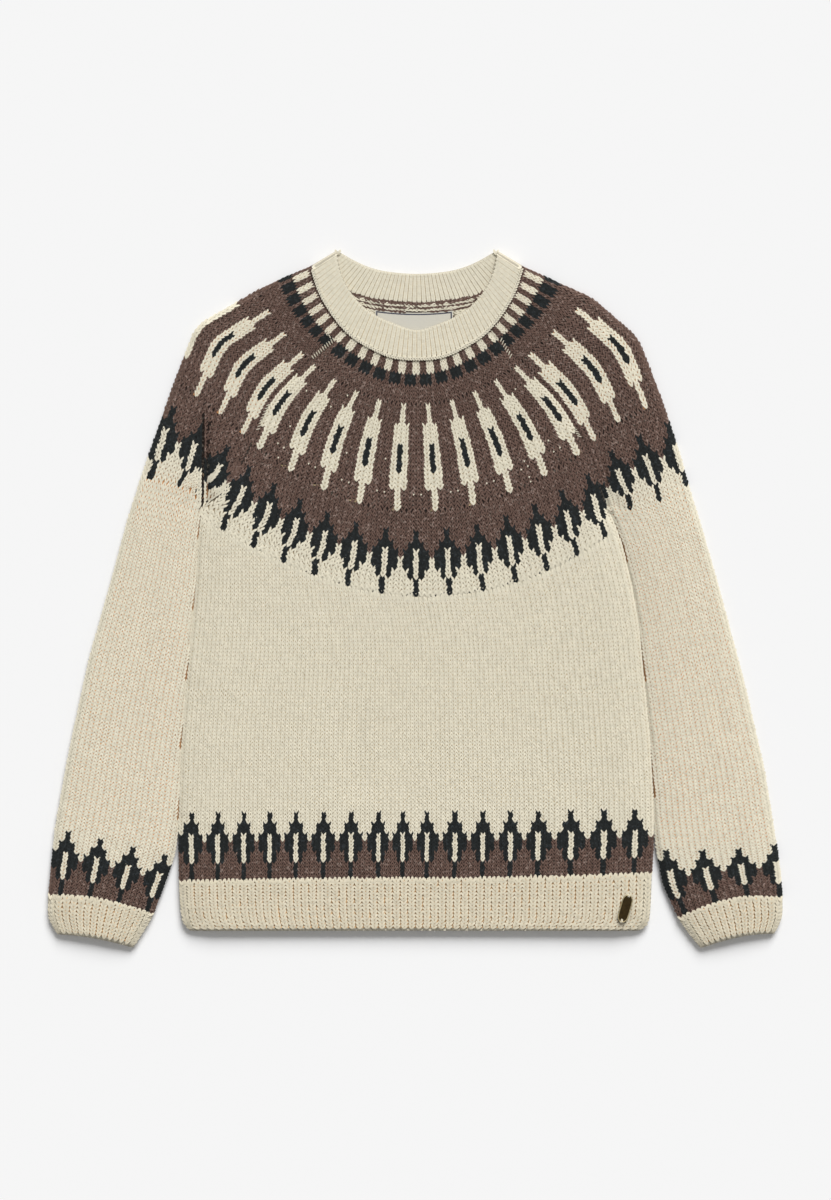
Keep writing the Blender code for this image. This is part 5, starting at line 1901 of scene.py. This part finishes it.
front_loops = knit_chart("front", body_stitches, 10)
sleeve_loops = {side: knit_chart(f"sleeve_{WORD[side]}", sleeve_stitches[side], 30 + side) for side in WORD}
hem_loops = knit("hem_rib_loops", hem_stitches, "shaded_rib_cream", seed=50, **RIB_LEGS)
cuff_loops = {side: knit(f"cuff_{WORD[side]}_loops", cuff_stitches[side], "shaded_rib_cream", seed=60, **RIB_LEGS)
              for side in WORD}
neck_loops = knit("neckband_loops", neck_stitches, "cream", seed=70, **NECK_LEGS)
chain_loops = knit("neck_chain", chain_stitches, "cream", seed=80, **CHAIN_LEGS)
inside_loops = []
for yarn, laid in inside_stripes.items():
    inside_loops += knit(f"back_float_{yarn}", laid, yarn, seed=90, **FLOAT_LEGS)
fleck_loops = knit("front_flecks", fleck_stitches, "cream", seed=95, **FLECK_LEGS)
dash_loops = knit("raglan_linking", dash_stitches, "cream", seed=97, **DASH_LEGS)

# %% [markdown]
# ## The label and the plate
#
# The woven label is a satin tape with a thin dark frame, and it is left
# without words. Its weave follows the tape's own directions, so the pattern is
# drawn from Object coordinates. The plate is a small pressed piece of aged
# brass: its rim is rubbed bright and its face is dark. Two bar tacks hold it.

# %% Label
label_finish, tree, shader = plain_material("woven_tape")
where = new_node(tree, "ShaderNodeTexCoord", (-1400, 0))
split = new_node(tree, "ShaderNodeSeparateXYZ", (-1200, 0))
join(tree, (where.outputs["Object"], split.inputs[0]))
# In metres, in the model's own frame: the tape's sides, its upper edge and how that sags, and its dark frame.
LABEL_SIDES = (-0.0364, 0.0339)
LABEL_TOP, LABEL_SAG, LABEL_SAG_X = 0.2584, 2.2 / 33.8**2 * 1000, 0.0013
LABEL_LINE_INSET, LABEL_LINE_HALF = 0.0016, 0.0006
from_left = sums(tree, (-1000, 200), "SUBTRACT", split.outputs["X"], LABEL_SIDES[0])
from_right = sums(tree, (-1000, 0), "SUBTRACT", LABEL_SIDES[1], split.outputs["X"])
bow = sums(tree, (-1000, -200), "SUBTRACT", split.outputs["X"], LABEL_SAG_X)
bow = sums(tree, (-840, -200), "MULTIPLY", bow, bow)
bow = sums(tree, (-680, -200), "MULTIPLY_ADD", bow, LABEL_SAG, LABEL_TOP)
from_top = sums(tree, (-520, -200), "SUBTRACT", bow, split.outputs["Y"])
inset = sums(tree, (-360, 0), "MINIMUM", from_left, from_right)
inset = sums(tree, (-200, 0), "MINIMUM", inset, from_top)
line = sums(tree, (-40, 0), "SUBTRACT", inset, LABEL_LINE_INSET)
line = sums(tree, (120, 0), "ABSOLUTE", line)
line = sums(tree, (280, 0), "LESS_THAN", line, LABEL_LINE_HALF)
weft = new_node(tree, "ShaderNodeTexWave", (-400, -500), wave_type="BANDS", bands_direction="Y")
weft.inputs["Scale"].default_value = 900.0
weft.inputs["Distortion"].default_value = 1.5
join(tree, (where.outputs["Object"], weft.inputs["Vector"]))
tape = mix_colours(tree, (0, -300), weft.outputs["Fac"], rgb(196, 192, 178), rgb(214, 210, 198))
tape = mix_colours(tree, (300, 200), line, tape, rgb(48, 50, 68))
join(tree, (tape, shader.inputs["Base Color"]))
shader.inputs["Roughness"].default_value = 0.6
bump(tree, shader, weft.outputs["Fac"], 0.4, 0.2)
bpy.data.objects["neck_label"].material_slots[0].material = label_finish

# %% Plate
PLATE_CENTRE = np.array([188.6, -277.8])
PLATE_LEAN = math.radians(16.0)
PLATE_LONG = np.array([math.sin(PLATE_LEAN), math.cos(PLATE_LEAN)])
PLATE_WIDE = np.array([math.cos(PLATE_LEAN), -math.sin(PLATE_LEAN)])
PLATE_HALF, PLATE_TALL, PLATE_TIP, PLATE_SHOULDER = 4.8, 12.7, 1.8, 3.4
# How far in from the edge each ring of the plate is, and how high above its underside.
PLATE_PROFILE = [
    (0.15, 0.0), (0.0, 0.15), (0.0, 0.75), (0.12, 0.93), (0.32, 1.0), (0.62, 0.98), (0.85, 0.78), (1.5, 0.74),
]
plate_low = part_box("hem_plate")[0].z / MM


def plate_outline(inset, count=6):
    """The plate's edge: straight sides and rounded shoulders, drawn in by inset."""
    half, tall, tip = PLATE_HALF - inset, PLATE_TALL - inset, PLATE_TIP
    low = tall - PLATE_SHOULDER
    upper = [(half, low), (tip, tall), (-tip, tall), (-half, low)]
    corner = [np.array(place) for place in upper + [(-x, -y) for x, y in upper]]
    points = []
    for a, b, c in zip(corner[-1:] + corner[:-1], corner, corner[1:] + corner[:1]):
        start, end = b + (a - b) * 0.3, b + (c - b) * 0.3
        for t in np.linspace(0, 1, count):
            points.append((1 - t) ** 2 * start + 2 * t * (1 - t) * b + t * t * end)
    return np.array([PLATE_CENTRE + PLATE_WIDE * x + PLATE_LONG * y for x, y in points])


def make_plate():
    """Rings from the underside over the rim and into the sunk face."""
    bm = bmesh.new()
    rings = []
    for inset, z in PLATE_PROFILE:
        places = [np.array([*p, plate_low + z]) for p in plate_outline(inset)]
        rings.append([bm.verts.new((place - ORIGIN) * MM) for place in places])
    n = len(rings[0])
    for low, high in zip(rings, rings[1:]):
        for k in range(n):
            bm.faces.new((low[k], low[(k + 1) % n], high[(k + 1) % n], high[k])).smooth = True
    bm.faces.new(rings[0][::-1])
    bm.faces.new(rings[-1])
    return finished("brass_plate", bm)


brass, tree, shader = plain_material("rubbed_brass")
where = new_node(tree, "ShaderNodeTexCoord", (-900, 0))
split = new_node(tree, "ShaderNodeSeparateXYZ", (-700, -300))
patina = new_node(tree, "ShaderNodeTexNoise", (-700, 0))
patina.inputs["Scale"].default_value = 350.0
patina.inputs["Detail"].default_value = 6.0
join(tree, (where.outputs["Object"], patina.inputs["Vector"]), (where.outputs["Object"], split.inputs[0]))
RIM_HEIGHT = 0.80
rim = sums(tree, (-500, -300), "SUBTRACT", split.outputs["Z"], (plate_low + RIM_HEIGHT) * MM)
rim = sums(tree, (-340, -300), "MULTIPLY", rim, 7000.0, clamp=True)
worn = sums(tree, (-180, -300), "MULTIPLY", rim, patina.outputs["Fac"], clamp=True)
worn = sums(tree, (-20, -300), "MULTIPLY", worn, 2.0, clamp=True)
face_colour = mix_colours(tree, (-300, 100), patina.outputs["Fac"], rgb(54, 43, 26), rgb(92, 74, 42))
face_colour = mix_colours(tree, (0, 100), worn, face_colour, rgb(226, 208, 160))
join(tree, (face_colour, shader.inputs["Base Color"]))
rough = sums(tree, (0, -100), "MULTIPLY_ADD", patina.outputs["Fac"], 0.25, 0.25)
join(tree, (rough, shader.inputs["Roughness"]))
shader.inputs["Metallic"].default_value = 0.85
bump(tree, shader, patina.outputs["Fac"], 0.3, 0.1)
plate = make_plate()
plate.data.materials.append(brass)
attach(plate, "root")
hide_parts("hem_plate")
TACK_REACH, TACK_RISE, TACK_SIZE = 12.0, 0.9, (2.4, 2.4, 1.4)
tack_ends = [PLATE_CENTRE + PLATE_LONG * y for y in (-TACK_REACH, TACK_REACH)]
tacks = Stitches()
tacks.add_loose([(*p, plate_low + TACK_RISE) for p in tack_ends], (*PLATE_LONG, 0.0), TACK_SIZE)
plate_tacks = knit("plate_tacks", tacks, "shaded_rib_cream", seed=99, **TACK_LEGS)
for tack in plate_tacks:
    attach(tack, "root")
print("plate faces", len(plate.data.polygons))

# %% [markdown]
# ## Camera, light and floor
#
# The jumper is seen straight from above through a long lens, in a white studio.
# A big soft lamp over its neck and a pale sky give gentle shadows.

# %% Camera and studio
scene = bpy.context.scene
VIEW_MIDDLE = np.array([0.0, -0.27, 0.0]) - ORIGIN
# In metres: how much the view takes in from top to bottom, at the cloth's height, and the camera's height.
FRAME_HEIGHT, CLOTH_HEIGHT = 1.08, 0.008
CAMERA_HEIGHT = 3.0
SENSOR = 24.0
camera_data = bpy.data.cameras.new("overhead")
camera_data.sensor_fit = "VERTICAL"
camera_data.sensor_height = SENSOR
camera_data.lens = SENSOR * (CAMERA_HEIGHT - CLOTH_HEIGHT) / FRAME_HEIGHT
camera_data.clip_end = 20.0
camera = bpy.data.objects.new("overhead", camera_data)
camera.location = (VIEW_MIDDLE[0] * MM, VIEW_MIDDLE[1] * MM, CAMERA_HEIGHT)
scene.collection.objects.link(camera)
scene.camera = camera
scene.view_settings.view_transform = "Standard"

world = bpy.data.worlds.new("studio")
scene.world = world
world.use_nodes = True
sky = world.node_tree.nodes["Background"]
sky.inputs["Color"].default_value = (1.0, 1.0, 1.0, 1.0)
sky.inputs["Strength"].default_value = 0.32


def soft_sun(name, angles, strength, spread):
    """A broad lamp, turned by angles. The wider its spread, the softer its shadows."""
    light = bpy.data.lights.new(name, "SUN")
    light.energy = strength
    light.angle = math.radians(spread)
    lamp = bpy.data.objects.new(name, light)
    lamp.rotation_euler = [math.radians(a) for a in angles]
    scene.collection.objects.link(lamp)


soft_sun("key", (-57.0, 0.0, -14.0), 4.02, 34.0)

FLOOR_HALF, FLOOR_DROP = 4, 0.0002
floor_mesh = bpy.data.meshes.new("floor")
floor_corners = [(x * FLOOR_HALF, y * FLOOR_HALF, 0) for x, y in ((-1, -1), (1, -1), (1, 1), (-1, 1))]
floor_mesh.from_pydata(floor_corners, [], [(0, 1, 2, 3)])
floor = link("floor", floor_mesh)
floor.location.z = -FLOOR_DROP
floor_paint, _, shader = plain_material("pale_floor")
shader.inputs["Base Color"].default_value = rgb(244, 244, 244)
shader.inputs["Specular IOR Level"].default_value = 0.0
shader.inputs["Roughness"].default_value = 0.9
floor_mesh.materials.append(floor_paint)

# %% [markdown]
# ## Putting every piece on the body
#
# Every piece rides on the one body. A shell stands for the solid under it, and
# each is a sheet of cloth that was knitted to a flat size.

# %% Pieces on the body
def declare(cloth, node, loops):
    """Attaches a shell and its loops to the one body, and hides the solid that the shell stands for."""
    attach(cloth, "root")
    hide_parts(node)
    for loop in loops:
        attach(loop, "root")


declare(back_cloth, "back", inside_loops)
declare(front_cloth, "front", front_loops + fleck_loops + dash_loops)
declare(hem_back_cloth, "hem_rib_back", [])
declare(hem_front_cloth, "hem_rib_front", hem_loops)
for side, word in WORD.items():
    declare(sleeve_cloth[side], f"sleeve_{word}", sleeve_loops[side])
    declare(cuff_cloth[side], f"cuff_{word}", cuff_loops[side])
declare(neckband_cloth, "neckband", neck_loops + chain_loops)
print("loops declared with the front:", len(front_loops + fleck_loops + dash_loops), "pieces")
